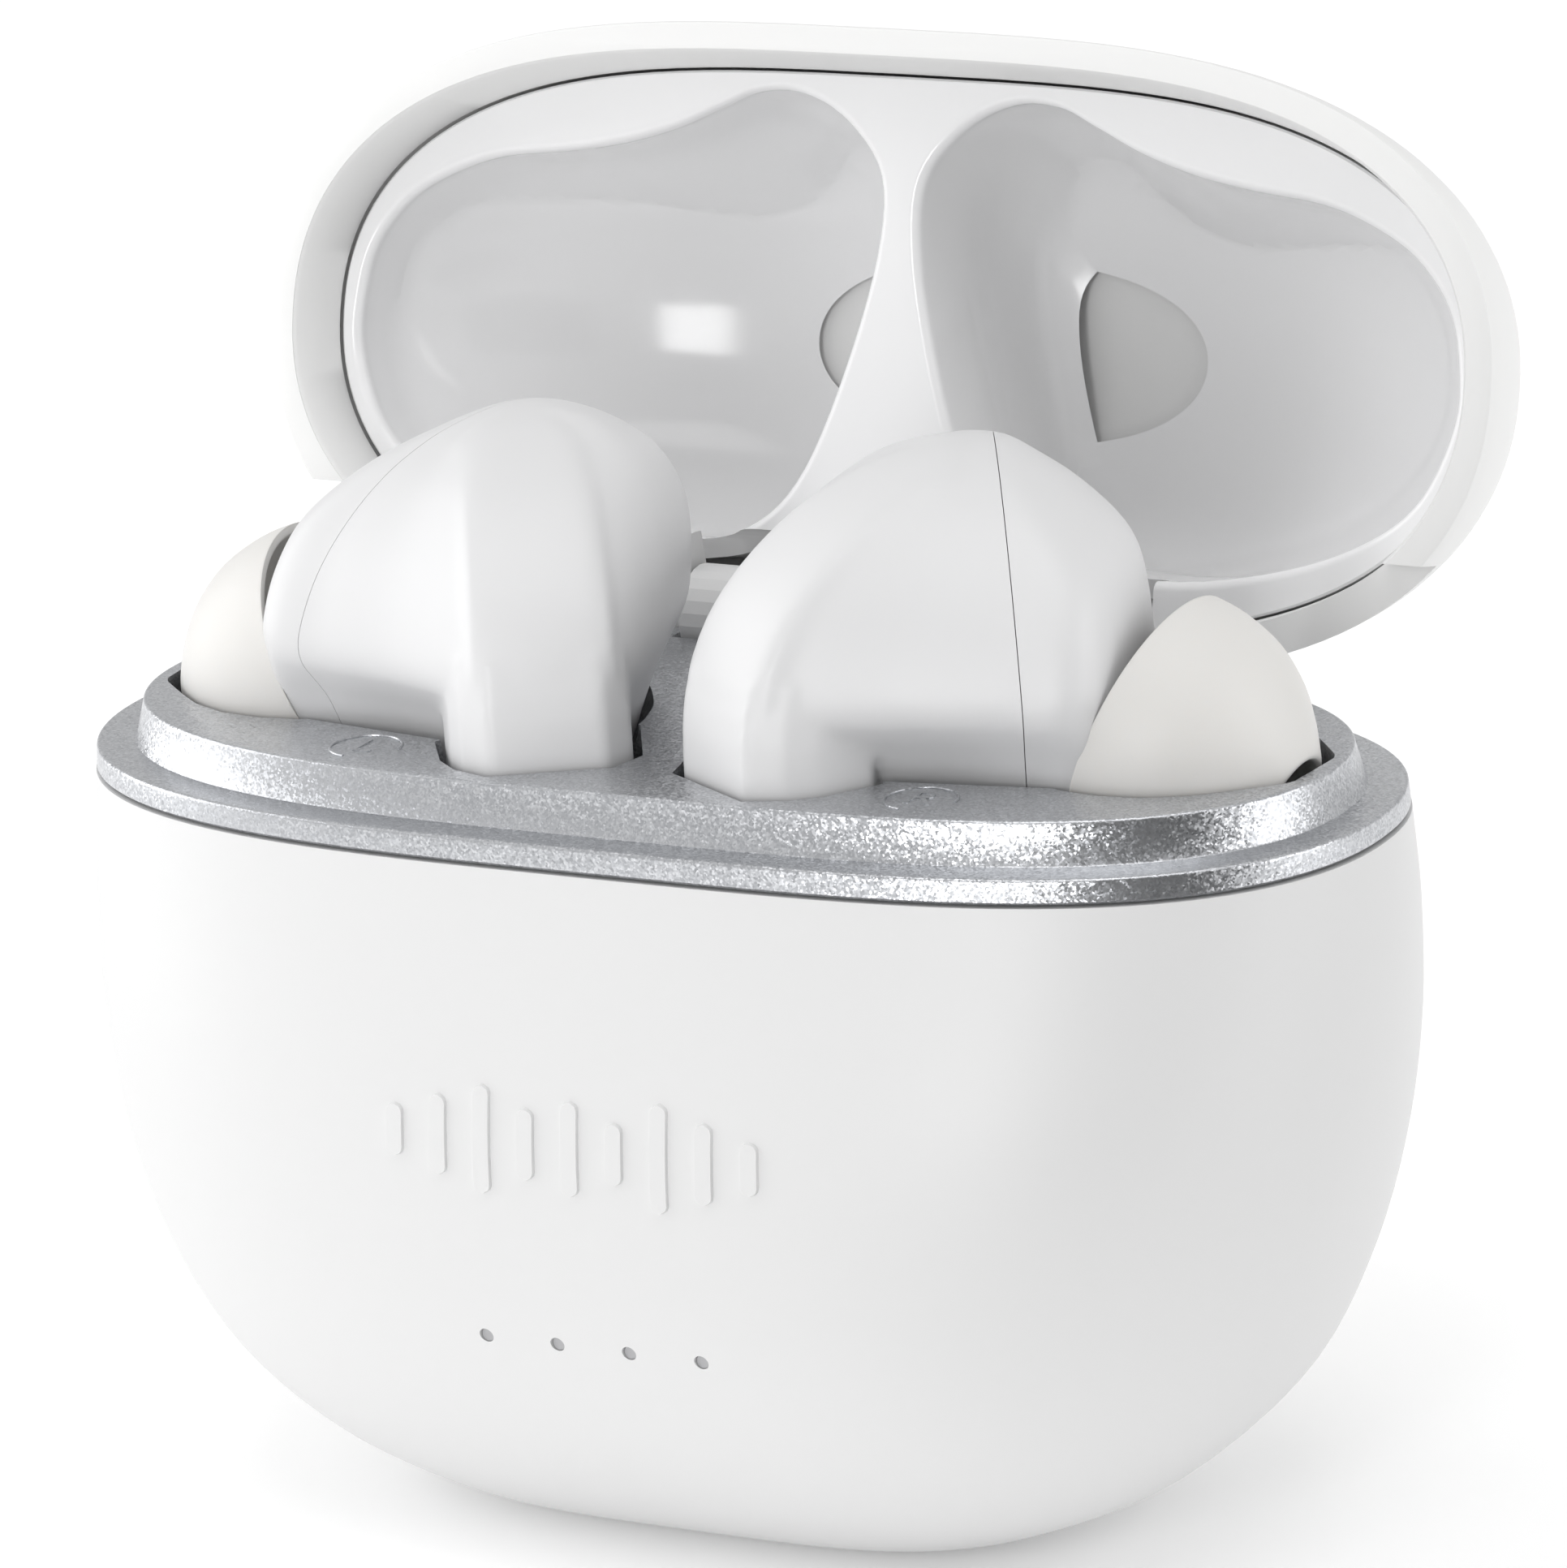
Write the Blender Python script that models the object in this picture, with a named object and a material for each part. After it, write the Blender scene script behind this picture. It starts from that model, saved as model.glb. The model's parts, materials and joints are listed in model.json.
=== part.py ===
"""A wireless earbuds case: pebble body, silver deck with two earbuds, lid open on its rear hinge.

Lengths are in millimetres up to the point where a mesh is made, and Blender's metres from there on.
X runs across the case, -Y is the front with the light dots, +Z is up, and the base stands on Z = 0.
"""
import math

import bmesh
import bpy
from mathutils import Matrix, Vector

for old in list(bpy.data.objects):
    bpy.data.objects.remove(old, do_unlink=True)

MM = 0.001

# The case outline, seen from above: |x / half_width| ** 3.4 + |y / half_depth| ** 2.2 = 1.
OUTLINE_X_POWER = 3.4
OUTLINE_Y_POWER = 2.2
OUTLINE_SIDES = 48
HALF_WIDTH = 30.0
HALF_DEPTH = 14.1
CASE_WALL = 1.5
SEAM_Z = 32.0
LEDGE_Z = 33.2
DECK_TOP_Z = 35.0
LEDGE_WIDTH = 1.7
DECK_TAPER = 0.45

# The lid turns on a pin along X. It is drawn closed, and its parent empty then opens it.
HINGE_Y = 12.2
HINGE_Z = 35.45
LID_OPEN_DEGREES = 105.0
LID_RIM_Z = 33.35
LINER_Z = 36.4
LID_TOP_Z = 51.0
LID_HALF_WIDTH = 29.7
LID_HALF_DEPTH = 14.0
LID_RIM_WALL = 1.3
HINGE_HALF_WIDTH = 20.0
KNUCKLE_HALF_WIDTH = 8.0
BARREL_RADIUS = 3.7
KNUCKLE_RADIUS = 2.2
NOTCH_RADIUS = BARREL_RADIUS + 0.25
NOTCH_HALF_WIDTH = HINGE_HALF_WIDTH + 0.4
PIN_RADIUS = 0.6

# Each earbud is drawn in its own plan axes: "across" runs along its flat outer face, "back" runs
# into the head, and heights are taken from the top of the deck. The right bud is drawn, and the
# left one is its mirror image.
FACE_X = 3.9
FACE_Y = -9.5
ACROSS = Vector((0.86, -0.51, 0.0)).normalized()
BACK = Vector((0.51, 0.86, 0.0)).normalized()
BUD_WALL = 1.1
STEM_BOTTOM = -15.5
WELL_CLEARANCE = 0.45
WELL_WALL = 0.9
SEAM_NORMAL = Vector((0.878, 0.479, 0.02)).normalized()
SEAM_OFFSET = 11.8
TIP_CENTRE = Vector((19.5, 0.2, 36.1))
TIP_AXIS = Vector((0.92, -0.07, -0.38)).normalized()
TIP_RADIUS = 6.0
NOZZLE_RADIUS = 2.3
NECK_RADIUS = 4.6
NECK_LENGTH = 4.5

BOARD_BOTTOM_Z = 14.0
BOARD_TOP_Z = 15.0
LIGHT_Z = 11.85
LIGHT_PITCH = 3.42
LIGHT_RADIUS = 0.35


# ---------------------------------------------------------------- helpers

def material(name, colour, roughness, metallic=0.0):
    made = bpy.data.materials.new(name)
    made.use_nodes = True
    shader = made.node_tree.nodes["Principled BSDF"]
    shader.inputs["Base Color"].default_value = (*colour, 1.0)
    shader.inputs["Roughness"].default_value = roughness
    shader.inputs["Metallic"].default_value = metallic
    return made


WHITE = material("white_shell", (0.86, 0.86, 0.86), 0.45)
GLOSS_WHITE = material("gloss_liner", (0.84, 0.84, 0.85), 0.12)
SILVER = material("silver_paint", (0.55, 0.56, 0.58), 0.35, 0.8)
RUBBER = material("silicone", (0.88, 0.87, 0.84), 0.5)
GREEN = material("board", (0.02, 0.12, 0.06), 0.5)
STEEL = material("steel", (0.6, 0.6, 0.6), 0.25, 1.0)
GOLD = material("gold_contact", (0.85, 0.62, 0.25), 0.25, 1.0)
BLACK = material("black_plastic", (0.03, 0.03, 0.03), 0.5)
POUCH = material("battery_wrap", (0.25, 0.27, 0.3), 0.4)
LENS = material("light_guide", (0.75, 0.75, 0.75), 0.2)


def add_object(name, mesh_data, surface, parent=None):
    """Turns a bmesh drawn in millimetres into a named object, and closes the bmesh."""
    bmesh.ops.scale(mesh_data, vec=(MM, MM, MM), verts=mesh_data.verts)
    bmesh.ops.recalc_face_normals(mesh_data, faces=mesh_data.faces)
    mesh = bpy.data.meshes.new(name)
    mesh_data.to_mesh(mesh)
    mesh_data.free()
    mesh.materials.append(surface)
    made = bpy.data.objects.new(name, mesh)
    bpy.context.scene.collection.objects.link(made)
    if parent is not None:
        made.parent = parent
        made.matrix_parent_inverse = parent.matrix_world.inverted()
    return made


def loft(rings):
    """A closed solid through rings of points that all have the same count."""
    mesh_data = bmesh.new()
    loops = [[mesh_data.verts.new(point) for point in ring] for ring in rings]
    for low, high in zip(loops, loops[1:]):
        for i in range(len(low)):
            j = (i + 1) % len(low)
            mesh_data.faces.new((low[i], low[j], high[j], high[i]))
    mesh_data.faces.new(loops[0])
    mesh_data.faces.new(loops[-1])
    return mesh_data


def cuboid(low, high, round_by=0.0):
    mesh_data = bmesh.new()
    bmesh.ops.create_cube(mesh_data, size=1.0)
    size = Vector(high) - Vector(low)
    bmesh.ops.scale(mesh_data, vec=size, verts=mesh_data.verts)
    bmesh.ops.translate(mesh_data, vec=(Vector(high) + Vector(low)) / 2, verts=mesh_data.verts)
    if round_by:
        bmesh.ops.bevel(
            mesh_data, geom=list(mesh_data.edges), offset=round_by, segments=2,
            profile=0.5, affect="EDGES", clamp_overlap=True, material=-1)
    return mesh_data


def rod(start, end, radius, sides=20, end_radius=None):
    """A cylinder, or a cone frustum, from one point to another."""
    start, end = Vector(start), Vector(end)
    along = end - start
    mesh_data = bmesh.new()
    bmesh.ops.create_cone(
        mesh_data, cap_ends=True, segments=sides, radius1=radius,
        radius2=radius if end_radius is None else end_radius, depth=along.length)
    turn = along.to_track_quat("Z", "Y").to_matrix().to_4x4()
    bmesh.ops.transform(
        mesh_data, matrix=Matrix.Translation((start + end) / 2) @ turn, verts=mesh_data.verts)
    return mesh_data


def lathe(profile, base, axis, sides=24):
    """Spins a closed profile of (distance along the axis, radius) pairs round the axis."""
    turn = Vector(axis).to_track_quat("Z", "Y").to_matrix().to_4x4()
    mesh_data = bmesh.new()
    loops = []
    for i in range(sides):
        angle = 2 * math.pi * i / sides
        loops.append([
            mesh_data.verts.new((r * math.cos(angle), r * math.sin(angle), s)) for s, r in profile])
    for one, other in zip(loops, loops[1:] + loops[:1]):
        for i in range(len(profile)):
            j = (i + 1) % len(profile)
            mesh_data.faces.new((one[i], one[j], other[j], other[i]))
    bmesh.ops.transform(
        mesh_data, matrix=Matrix.Translation(Vector(base)) @ turn, verts=mesh_data.verts)
    return mesh_data


def hull(points):
    mesh_data = bmesh.new()
    for point in points:
        mesh_data.verts.new(point)
    found = bmesh.ops.convex_hull(mesh_data, input=mesh_data.verts)
    spare = [v for v in found["geom_interior"] if isinstance(v, bmesh.types.BMVert)]
    bmesh.ops.delete(mesh_data, geom=spare, context="VERTS")
    return mesh_data


def cutter(name, mesh_data):
    """A helper solid for Booleans, which no render shows."""
    made = add_object(name, mesh_data, BLACK)
    made.hide_render = True
    made.display_type = "WIRE"
    return made


def combine(target, helper, operation):
    helper.parent = target.parent
    helper.matrix_parent_inverse = target.matrix_parent_inverse
    modifier = target.modifiers.new(operation.lower() + "_" + helper.name, "BOOLEAN")
    modifier.operation = operation
    modifier.solver = "EXACT"
    modifier.object = helper


def cut(target, name, mesh_data):
    combine(target, cutter(name, mesh_data), "DIFFERENCE")


def join(target, name, mesh_data):
    combine(target, cutter(name, mesh_data), "UNION")


def outline(half_width, half_depth, z, sides=OUTLINE_SIDES):
    """One level of the pebble: points of the case outline, spread by angle."""
    points = []
    for i in range(sides):
        angle = 2 * math.pi * i / sides
        c, s = math.cos(angle), math.sin(angle)
        x = half_width * math.copysign(abs(c) ** (2 / OUTLINE_X_POWER), c)
        y = half_depth * math.copysign(abs(s) ** (2 / OUTLINE_Y_POWER), s)
        points.append((x, y, z))
    return points


def mirrored(mesh_data):
    bmesh.ops.scale(mesh_data, vec=(-1, 1, 1), verts=mesh_data.verts)
    bmesh.ops.reverse_faces(mesh_data, faces=mesh_data.faces)
    return mesh_data


# ---------------------------------------------------------------- body shell
# The pebble: (height, half width, half depth) from the flat base to the seam. It is deepest
# in the middle of its height and widest just under the seam.

PEBBLE = (
    (0.0, 11.0, 6.0),
    (0.5, 13.6, 7.6),
    (1.6, 17.0, 9.4),
    (3.9, 21.0, 11.6),
    (7.5, 24.6, 13.9),
    (12.2, 27.0, 15.8),
    (17.4, 28.6, 16.7),
    (22.6, 29.6, 16.5),
    (27.6, 30.1, 15.6),
    (SEAM_Z, HALF_WIDTH + 0.1, HALF_DEPTH + 0.2),
)


def pebble_depth(z):
    """Half depth of the outside of the body at a height."""
    for (z0, _, d0), (z1, _, d1) in zip(PEBBLE, PEBBLE[1:]):
        if z <= z1:
            return d0 + (d1 - d0) * (z - z0) / (z1 - z0)
    return PEBBLE[-1][2]


lower_shell = add_object(
    "lower_shell", loft([outline(w, d, z) for z, w, d in PEBBLE]), WHITE)
inner_levels = [(CASE_WALL, 15.0, 7.9)] + [
    (z + 0.6, w - CASE_WALL - 0.2, d - CASE_WALL - 0.1) for z, w, d in PEBBLE[3:-1]]
inner_levels.append((SEAM_Z + 1.0, HALF_WIDTH - CASE_WALL + 0.1, HALF_DEPTH - CASE_WALL + 0.2))
cut(lower_shell, "shell_hollow", loft([outline(w, d, z) for z, w, d in inner_levels]))

LIGHT_FACE_Y = -pebble_depth(LIGHT_Z)
light_xs = [LIGHT_PITCH * (i - 1.5) for i in range(4)]
for number, x in enumerate(light_xs, 1):
    cut(lower_shell, f"light_hole_{number}", rod(
        (x, LIGHT_FACE_Y + 3, LIGHT_Z), (x, LIGHT_FACE_Y - 1, LIGHT_Z), LIGHT_RADIUS + 0.06, 12))

USB_HALF_WIDTH = 4.6
USB_HALF_HEIGHT = 1.7
USB_Z = BOARD_TOP_Z + 1.75
usb_hole = cuboid((-USB_HALF_WIDTH, 12, USB_Z - USB_HALF_HEIGHT),
                  (USB_HALF_WIDTH, 19, USB_Z + USB_HALF_HEIGHT))
bmesh.ops.bevel(
    usb_hole, geom=[e for e in usb_hole.edges if abs((e.verts[0].co - e.verts[1].co).y) > 1],
    offset=1.5, segments=4, profile=0.5, affect="EDGES", material=-1)
cut(lower_shell, "usb_hole", usb_hole)


# ---------------------------------------------------------------- earbud shapes

def bud_point(across, back, height):
    """A point given in a bud's own plan axes, with the height above the deck."""
    plan = Vector((FACE_X, FACE_Y, 0)) + ACROSS * across + BACK * back
    return Vector((plan.x, plan.y, DECK_TOP_Z + height))


# The head, level by level: (height, where its face starts, half width of that face, the widest
# point to each side, and how far back it reaches). The face leans back as it rises, and under the
# deck the head closes behind the stem.
HEAD = (
    (-3.7, 7.6, 0.6, -1.0, 7.0, 13.6),
    (-2.4, 7.0, 0.8, -2.8, 9.2, 15.6),
    (-1.0, 6.6, 0.9, -3.6, 10.4, 16.8),
    (0.0, 6.2, 1.0, -4.1, 10.9, 17.4),
    (1.2, 3.6, 2.0, -5.0, 11.3, 18.2),
    (2.6, 0.1, 2.4, -5.8, 11.5, 18.7),
    (4.2, 0.5, 2.35, -6.7, 11.6, 19.2),
    (6.4, 1.6, 2.3, -7.0, 10.9, 19.4),
    (8.4, 3.3, 2.2, -6.8, 9.6, 19.3),
    (10.2, 5.8, 2.0, -5.8, 7.0, 18.0),
    (11.4, 8.4, 1.6, -4.2, 4.2, 16.6),
    (12.1, 10.8, 1.1, -2.4, 1.9, 15.6),
    (12.35, 12.6, 0.4, -0.9, 0.6, 14.6),
)
FACE_SLOPE_WIDTH = 1.15
FACE_SLOPE_DEPTH = 1.3
BOTTOM_LEVELS = 4

# The stem's plan: a flat outer face with a slope to each side, in (across, back).
STEM_PLAN = (
    (-2.45, 0.0), (2.45, 0.0), (3.6, 1.3), (3.7, 5.4), (2.2, 6.6), (-2.2, 6.6), (-3.7, 5.4), (-3.6, 1.3))
STEM_MIDDLE = 3.3
# (height, how far the stem has leaned back, scale)
STEM_LEVELS = (
    (STEM_BOTTOM, 0.25, 0.90), (STEM_BOTTOM + 0.6, 0.0, 1.0), (1.8, 0.0, 1.0), (3.2, 0.5, 0.97))


def head_plan(face, half_face, left, right, rear):
    """Control points of one level of the head, anticlockwise from the left end of its face."""
    widest_right = face + 0.55 * (rear - face)
    widest = face + 0.62 * (rear - face)
    middle = (left + right) / 2
    slope_width = min(FACE_SLOPE_WIDTH, 0.3 * (right - left) / 2)
    slope = face + min(FACE_SLOPE_DEPTH, 0.15 * (rear - face))
    points = [(-half_face, face), (half_face, face), (half_face + slope_width, slope)]
    for part, bulge in ((0.36, -0.15), (0.7, 0.0)):
        points.append((half_face + slope_width + (right - half_face - slope_width) * part + bulge,
                       slope + (widest_right - slope) * part - bulge))
    for turn in (0, 36, 72):
        angle = math.radians(turn)
        points.append((middle + (right - middle) * math.cos(angle) ** 1.3,
                       widest_right + (rear - widest_right) * math.sin(angle)))
    for turn in (72, 36, 0):
        angle = math.radians(turn)
        points.append((middle - (right - middle) * math.cos(angle),
                       widest + (rear - widest) * math.sin(angle)))
    for part, bulge in ((0.6, 0.5), (0.3, 0.4)):
        points.append((-half_face - slope_width + (left + half_face + slope_width) * part - bulge,
                       slope + (widest - slope) * part - bulge))
    points.append((-half_face - slope_width, slope))
    return points


def head(grow, levels=HEAD):
    """The round head of a bud, grown all round, as rings."""
    rings = []
    for height, face, half_face, left, right, rear in levels:
        plan = head_plan(face, half_face, left, right, rear)
        across_middle, back_middle = (left + right) / 2, (face + rear) / 2
        ring = []
        for across, back in plan:
            away = Vector((across - across_middle, back - back_middle, 0))
            away = away.normalized() * max(away.length + grow, 0.3)
            ring.append(bud_point(
                across_middle + away.x, back_middle + away.y, height + grow * (height - 4.5) / 8.2))
        rings.append(ring)
    return rings


def stem(grow):
    rings = []
    for height, lean, scale in STEM_LEVELS:
        if height < 0:
            height -= grow
        ring = []
        for across, back in STEM_PLAN:
            outward = Vector((across, back - STEM_MIDDLE, 0)).normalized() * grow
            ring.append(bud_point(across * scale + outward.x,
                                  (back - STEM_MIDDLE) * scale + STEM_MIDDLE + outward.y + lean, height))
        rings.append(ring)
    return rings


TIP_LENGTH = 7.1
TIP_PROFILE = (
    (0.0, TIP_RADIUS), (1.3, TIP_RADIUS), (3.1, 5.6), (4.7, 4.7), (5.9, 3.6), (6.7, 2.7), (TIP_LENGTH, 2.1),
    (6.3, 1.9), (5.3, 1.9), (5.2, 2.45), (0.6, 2.45), (0.6, 3.1), (3.5, 3.1), (3.9, 3.6), (3.0, 4.8),
    (1.3, 5.4), (0.0, 5.4),
)


def tip_points(grow):
    """The outside of the ear tip, grown, as loose points."""
    turn = TIP_AXIS.to_track_quat("Z", "Y").to_matrix()
    points = []
    for along, radius in ((-0.4, 6.0), (1.3, 6.0), (3.1, 5.6), (4.7, 4.7), (5.9, 3.6), (6.7, 2.7), (7.0, 2.1)):
        for i in range(20):
            angle = 2 * math.pi * i / 20
            spot = Vector((math.cos(angle), math.sin(angle), 0)) * (radius + grow)
            end = grow if along > 6 else 0.0
            points.append(TIP_CENTRE + turn @ (spot + Vector((0, 0, along + end))))
    return points


def neck_points(grow):
    """The thick end of the nozzle's neck, grown, as loose points."""
    turn = TIP_AXIS.to_track_quat("Z", "Y").to_matrix()
    points = []
    for i in range(20):
        angle = 2 * math.pi * i / 20
        spot = Vector((math.cos(angle), math.sin(angle), 0)) * (NECK_RADIUS + grow)
        points.append(TIP_CENTRE - TIP_AXIS * NECK_LENGTH + turn @ spot)
    return points


def risen(points, top):
    """The points with a copy of each at the given height, so that their hull opens upwards."""
    return points + [Vector((p.x, p.y, top)) for p in points if p.z < top]


# ---------------------------------------------------------------- deck
# The silver moulding: a stepped rim, a flat top, and a cup under it for each bud.

DECK_SKIRT_Z = 29.5
SCREW_X = 18.5
SCREW_Y = 2.0
ledge = (HALF_WIDTH - LEDGE_WIDTH, HALF_DEPTH - LEDGE_WIDTH)
deck_levels = (
    (DECK_SKIRT_Z, 28.1, 12.5),
    (SEAM_Z + 0.12, 28.1, 12.5),
    (SEAM_Z + 0.121, HALF_WIDTH + 0.05, HALF_DEPTH + 0.1),
    (LEDGE_Z - 0.3, HALF_WIDTH, HALF_DEPTH),
    (LEDGE_Z, HALF_WIDTH - 0.3, HALF_DEPTH - 0.3),
    (LEDGE_Z + 0.001, ledge[0], ledge[1]),
    (DECK_TOP_Z - 0.35, ledge[0] - DECK_TAPER + 0.05, ledge[1] - DECK_TAPER + 0.05),
    (DECK_TOP_Z, ledge[0] - DECK_TAPER - 0.25, ledge[1] - DECK_TAPER - 0.25),
)
deck = add_object("deck", loft([outline(w, d, z) for z, w, d in deck_levels]), SILVER)
cut(deck, "deck_hollow", loft([
    outline(26.9, 11.3, DECK_SKIRT_Z - 1), outline(26.9, 11.3, 32.6), outline(25.4, 9.8, 33.7)]))

for side, flip in (("right", False), ("left", True)):
    def placed(mesh_data):
        return mirrored(mesh_data) if flip else mesh_data

    CUP_TOP_Z = 34.2
    grow = WELL_CLEARANCE + WELL_WALL
    low_head = [p for ring in head(grow, HEAD[:BOTTOM_LEVELS]) for p in ring if p.z < CUP_TOP_Z]
    join(deck, f"cup_head_{side}", placed(hull(risen(low_head, CUP_TOP_Z))))
    low_stem = [p for ring in stem(grow)[:2] for p in ring]
    join(deck, f"cup_stem_{side}", placed(hull(risen(low_stem, CUP_TOP_Z))))
    low_tip = [p for p in tip_points(grow) if p.z < 33.0]
    join(deck, f"cup_tip_{side}", placed(hull(risen(low_tip, 33.0))))
    join(deck, f"boss_{side}", placed(rod(
        (SCREW_X, SCREW_Y, BOARD_TOP_Z + 0.15), (SCREW_X, SCREW_Y, 30.0), 1.9, 16)))
    cut(deck, f"boss_hole_{side}", placed(rod(
        (SCREW_X, SCREW_Y, BOARD_TOP_Z - 1), (SCREW_X, SCREW_Y, 21.0), 1.0, 12)))

for side, flip in (("right", False), ("left", True)):
    def placed(mesh_data):
        return mirrored(mesh_data) if flip else mesh_data

    ABOVE_DECK_Z = 36.0
    low_head = [p for ring in head(WELL_CLEARANCE, HEAD[:BOTTOM_LEVELS]) for p in ring]
    cut(deck, f"well_head_{side}", placed(hull(risen(low_head, ABOVE_DECK_Z))))
    low_stem = [p for ring in stem(WELL_CLEARANCE)[:2] for p in ring]
    cut(deck, f"well_stem_{side}", placed(hull(risen(low_stem, ABOVE_DECK_Z))))
    round_tip = tip_points(WELL_CLEARANCE) + neck_points(WELL_CLEARANCE)
    cut(deck, f"well_tip_{side}", placed(hull(risen(
        [p for p in round_tip if p.z < ABOVE_DECK_Z], ABOVE_DECK_Z))))

cut(deck, "knuckle_room", rod(
    (-KNUCKLE_HALF_WIDTH - 0.3, HINGE_Y, HINGE_Z), (KNUCKLE_HALF_WIDTH + 0.3, HINGE_Y, HINGE_Z),
    KNUCKLE_RADIUS + 0.3, 24))
cut(deck, "barrel_room", cuboid(
    (-HINGE_HALF_WIDTH - 0.2, 11.2, LEDGE_Z + 0.15), (HINGE_HALF_WIDTH + 0.2, 16, 37)))


# ---------------------------------------------------------------- contact pins
# Two spring pins press up against the foot of each bud, through the bottom of its cup.

PIN_TOP_Z = DECK_TOP_Z + STEM_BOTTOM - 0.06
PIN_SPREAD = 1.5
PIN_BACK = 3.3
PLUNGER_RADIUS = 0.45
pin_spots = {}
for side, sign in (("left", -1), ("right", 1)):
    for place, across in (("inner", -PIN_SPREAD), ("outer", PIN_SPREAD)):
        spot = bud_point(across, PIN_BACK, 0)
        pin_spots[f"contact_pin_{side}_{place}"] = (sign * spot.x, spot.y)

for name, (x, y) in pin_spots.items():
    cut(deck, f"pin_hole_{name}", rod((x, y, 16), (x, y, 20.5), PLUNGER_RADIUS + 0.15, 12))
    axis = bpy.data.objects.new(f"{name}_axis", None)
    axis.location = (x * MM, y * MM, PIN_TOP_Z * MM)
    bpy.context.scene.collection.objects.link(axis)
    bpy.context.view_layer.update()
    plunger = add_object(name, lathe(
        ((0, 0.02), (0, PLUNGER_RADIUS - 0.05), (2.2, PLUNGER_RADIUS - 0.05), (3.1, PLUNGER_RADIUS - 0.05),
         (3.35, 0.25), (3.4, 0.02)), (x, y, PIN_TOP_Z - 3.4), (0, 0, 1), 12), GOLD, axis)
    bmesh_data = bmesh.new()
    bmesh_data.from_mesh(plunger.data)
    bmesh.ops.remove_doubles(bmesh_data, verts=bmesh_data.verts, dist=0.00003)
    bmesh_data.to_mesh(plunger.data)
    bmesh_data.free()

for side, sign in (("left", -1), ("right", 1)):
    centre = bud_point(0, PIN_BACK, 0)
    middle = Vector((sign * centre.x, centre.y, 0))
    block = add_object(f"pin_block_{side}", cuboid(
        (middle.x - 2.9, middle.y - 2.2, BOARD_TOP_Z + 0.15),
        (middle.x + 2.9, middle.y + 2.2, 17.85), 0.3), BLACK)
    for name, (x, y) in pin_spots.items():
        if side in name:
            cut(block, f"bore_{name}", rod(
                (x, y, BOARD_TOP_Z + 0.3), (x, y, 19), PLUNGER_RADIUS + 0.1, 12))


# ---------------------------------------------------------------- electronics in the body

main_board = add_object("main_board", cuboid(
    (-21, -8.5, BOARD_BOTTOM_Z), (21, 8.6, BOARD_TOP_Z)), GREEN)
case_battery = add_object("case_battery", cuboid((-15, -7, 3.4), (15, 7, 10.4), 1.0), POUCH)
battery_tape = add_object("battery_tape", cuboid((-12.5, -5, 2.4), (12.5, 5, 3.1)), BLACK)
charge_chip = add_object("charge_chip", cuboid((-3, -3, 15.15), (3, 3, 16.0)), BLACK)
lid_sensor = add_object("lid_sensor", cuboid((-1.5, 4.0, 15.15), (1.5, 6.2, 16.1)), BLACK)

usb = add_object("usb_c_receptacle", cuboid(
    (-4.3, 7.6, USB_Z - 1.45), (4.3, 14.3, USB_Z + 1.45), 0.4), STEEL)
cut(usb, "usb_mouth", cuboid((-4.0, 9.0, USB_Z - 1.15), (4.0, 16, USB_Z + 1.15)))
usb_tongue = add_object("usb_tongue", cuboid(
    (-3.3, 9.2, USB_Z - 0.35), (3.3, 13.6, USB_Z + 0.35)), BLACK)

light_guide = add_object("light_guide", cuboid(
    (-6.6, LIGHT_FACE_Y + 2.6, LIGHT_Z - 1.0), (6.6, LIGHT_FACE_Y + 4.2, LIGHT_Z + 0.9)), LENS)
for number, x in enumerate(light_xs, 1):
    join(light_guide, f"light_peg_{number}", rod(
        (x, LIGHT_FACE_Y + 3.4, LIGHT_Z), (x, LIGHT_FACE_Y + 0.3, LIGHT_Z), LIGHT_RADIUS, 12))
    add_object(f"status_light_{number}", cuboid(
        (x - 0.8, LIGHT_FACE_Y + 4.4, LIGHT_Z - 0.4), (x + 0.8, LIGHT_FACE_Y + 5.4, LIGHT_Z + 0.7)), LENS)
add_object("light_board", cuboid(
    (-7.5, LIGHT_FACE_Y + 5.55, LIGHT_Z - 1.0), (7.5, LIGHT_FACE_Y + 6.15, BOARD_BOTTOM_Z - 0.15)), GREEN)

add_object("closing_magnet", cuboid((-3, 4.2, 31.7), (3, 7.4, 33.5), 0.2), STEEL)
for side, sign in (("left", -1), ("right", 1)):
    magnet_x = sign * 10.4
    add_object(f"well_magnet_{side}", rod((magnet_x, -0.6, 26.8), (magnet_x, -0.6, 28.8), 2.0), STEEL)
    boss_x = sign * SCREW_X
    cut(main_board, f"screw_hole_{side}", rod((boss_x, SCREW_Y, 13), (boss_x, SCREW_Y, 16), 1.1, 12))
    shank = rod((boss_x, SCREW_Y, 13.4), (boss_x, SCREW_Y, 20.0), 0.85, 12)
    screw = add_object(f"board_screw_{side}", shank, STEEL)
    join(screw, f"screw_head_{side}", rod((boss_x, SCREW_Y, 12.7), (boss_x, SCREW_Y, 13.85), 1.7, 16))


# ---------------------------------------------------------------- hinge on the body

def lid_half_width(z, inset=0.0):
    u = min(max((z - LID_RIM_Z) / (LID_TOP_Z - inset - LID_RIM_Z), 0.0), 1.0)
    return max((LID_HALF_WIDTH - inset) * (1 - u ** 2.3) ** (1 / 2.3), 0.8)


def lid_half_depth(z, inset=0.0):
    u = min(max((z - LID_RIM_Z) / (LID_TOP_Z - inset - LID_RIM_Z), 0.0), 1.0)
    swell = 1.4 * (1 - (1 - u) ** 3)
    return max((LID_HALF_DEPTH + swell - inset) * (1 - u ** 2.6) ** (1 / 2.6), 0.5)


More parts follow.
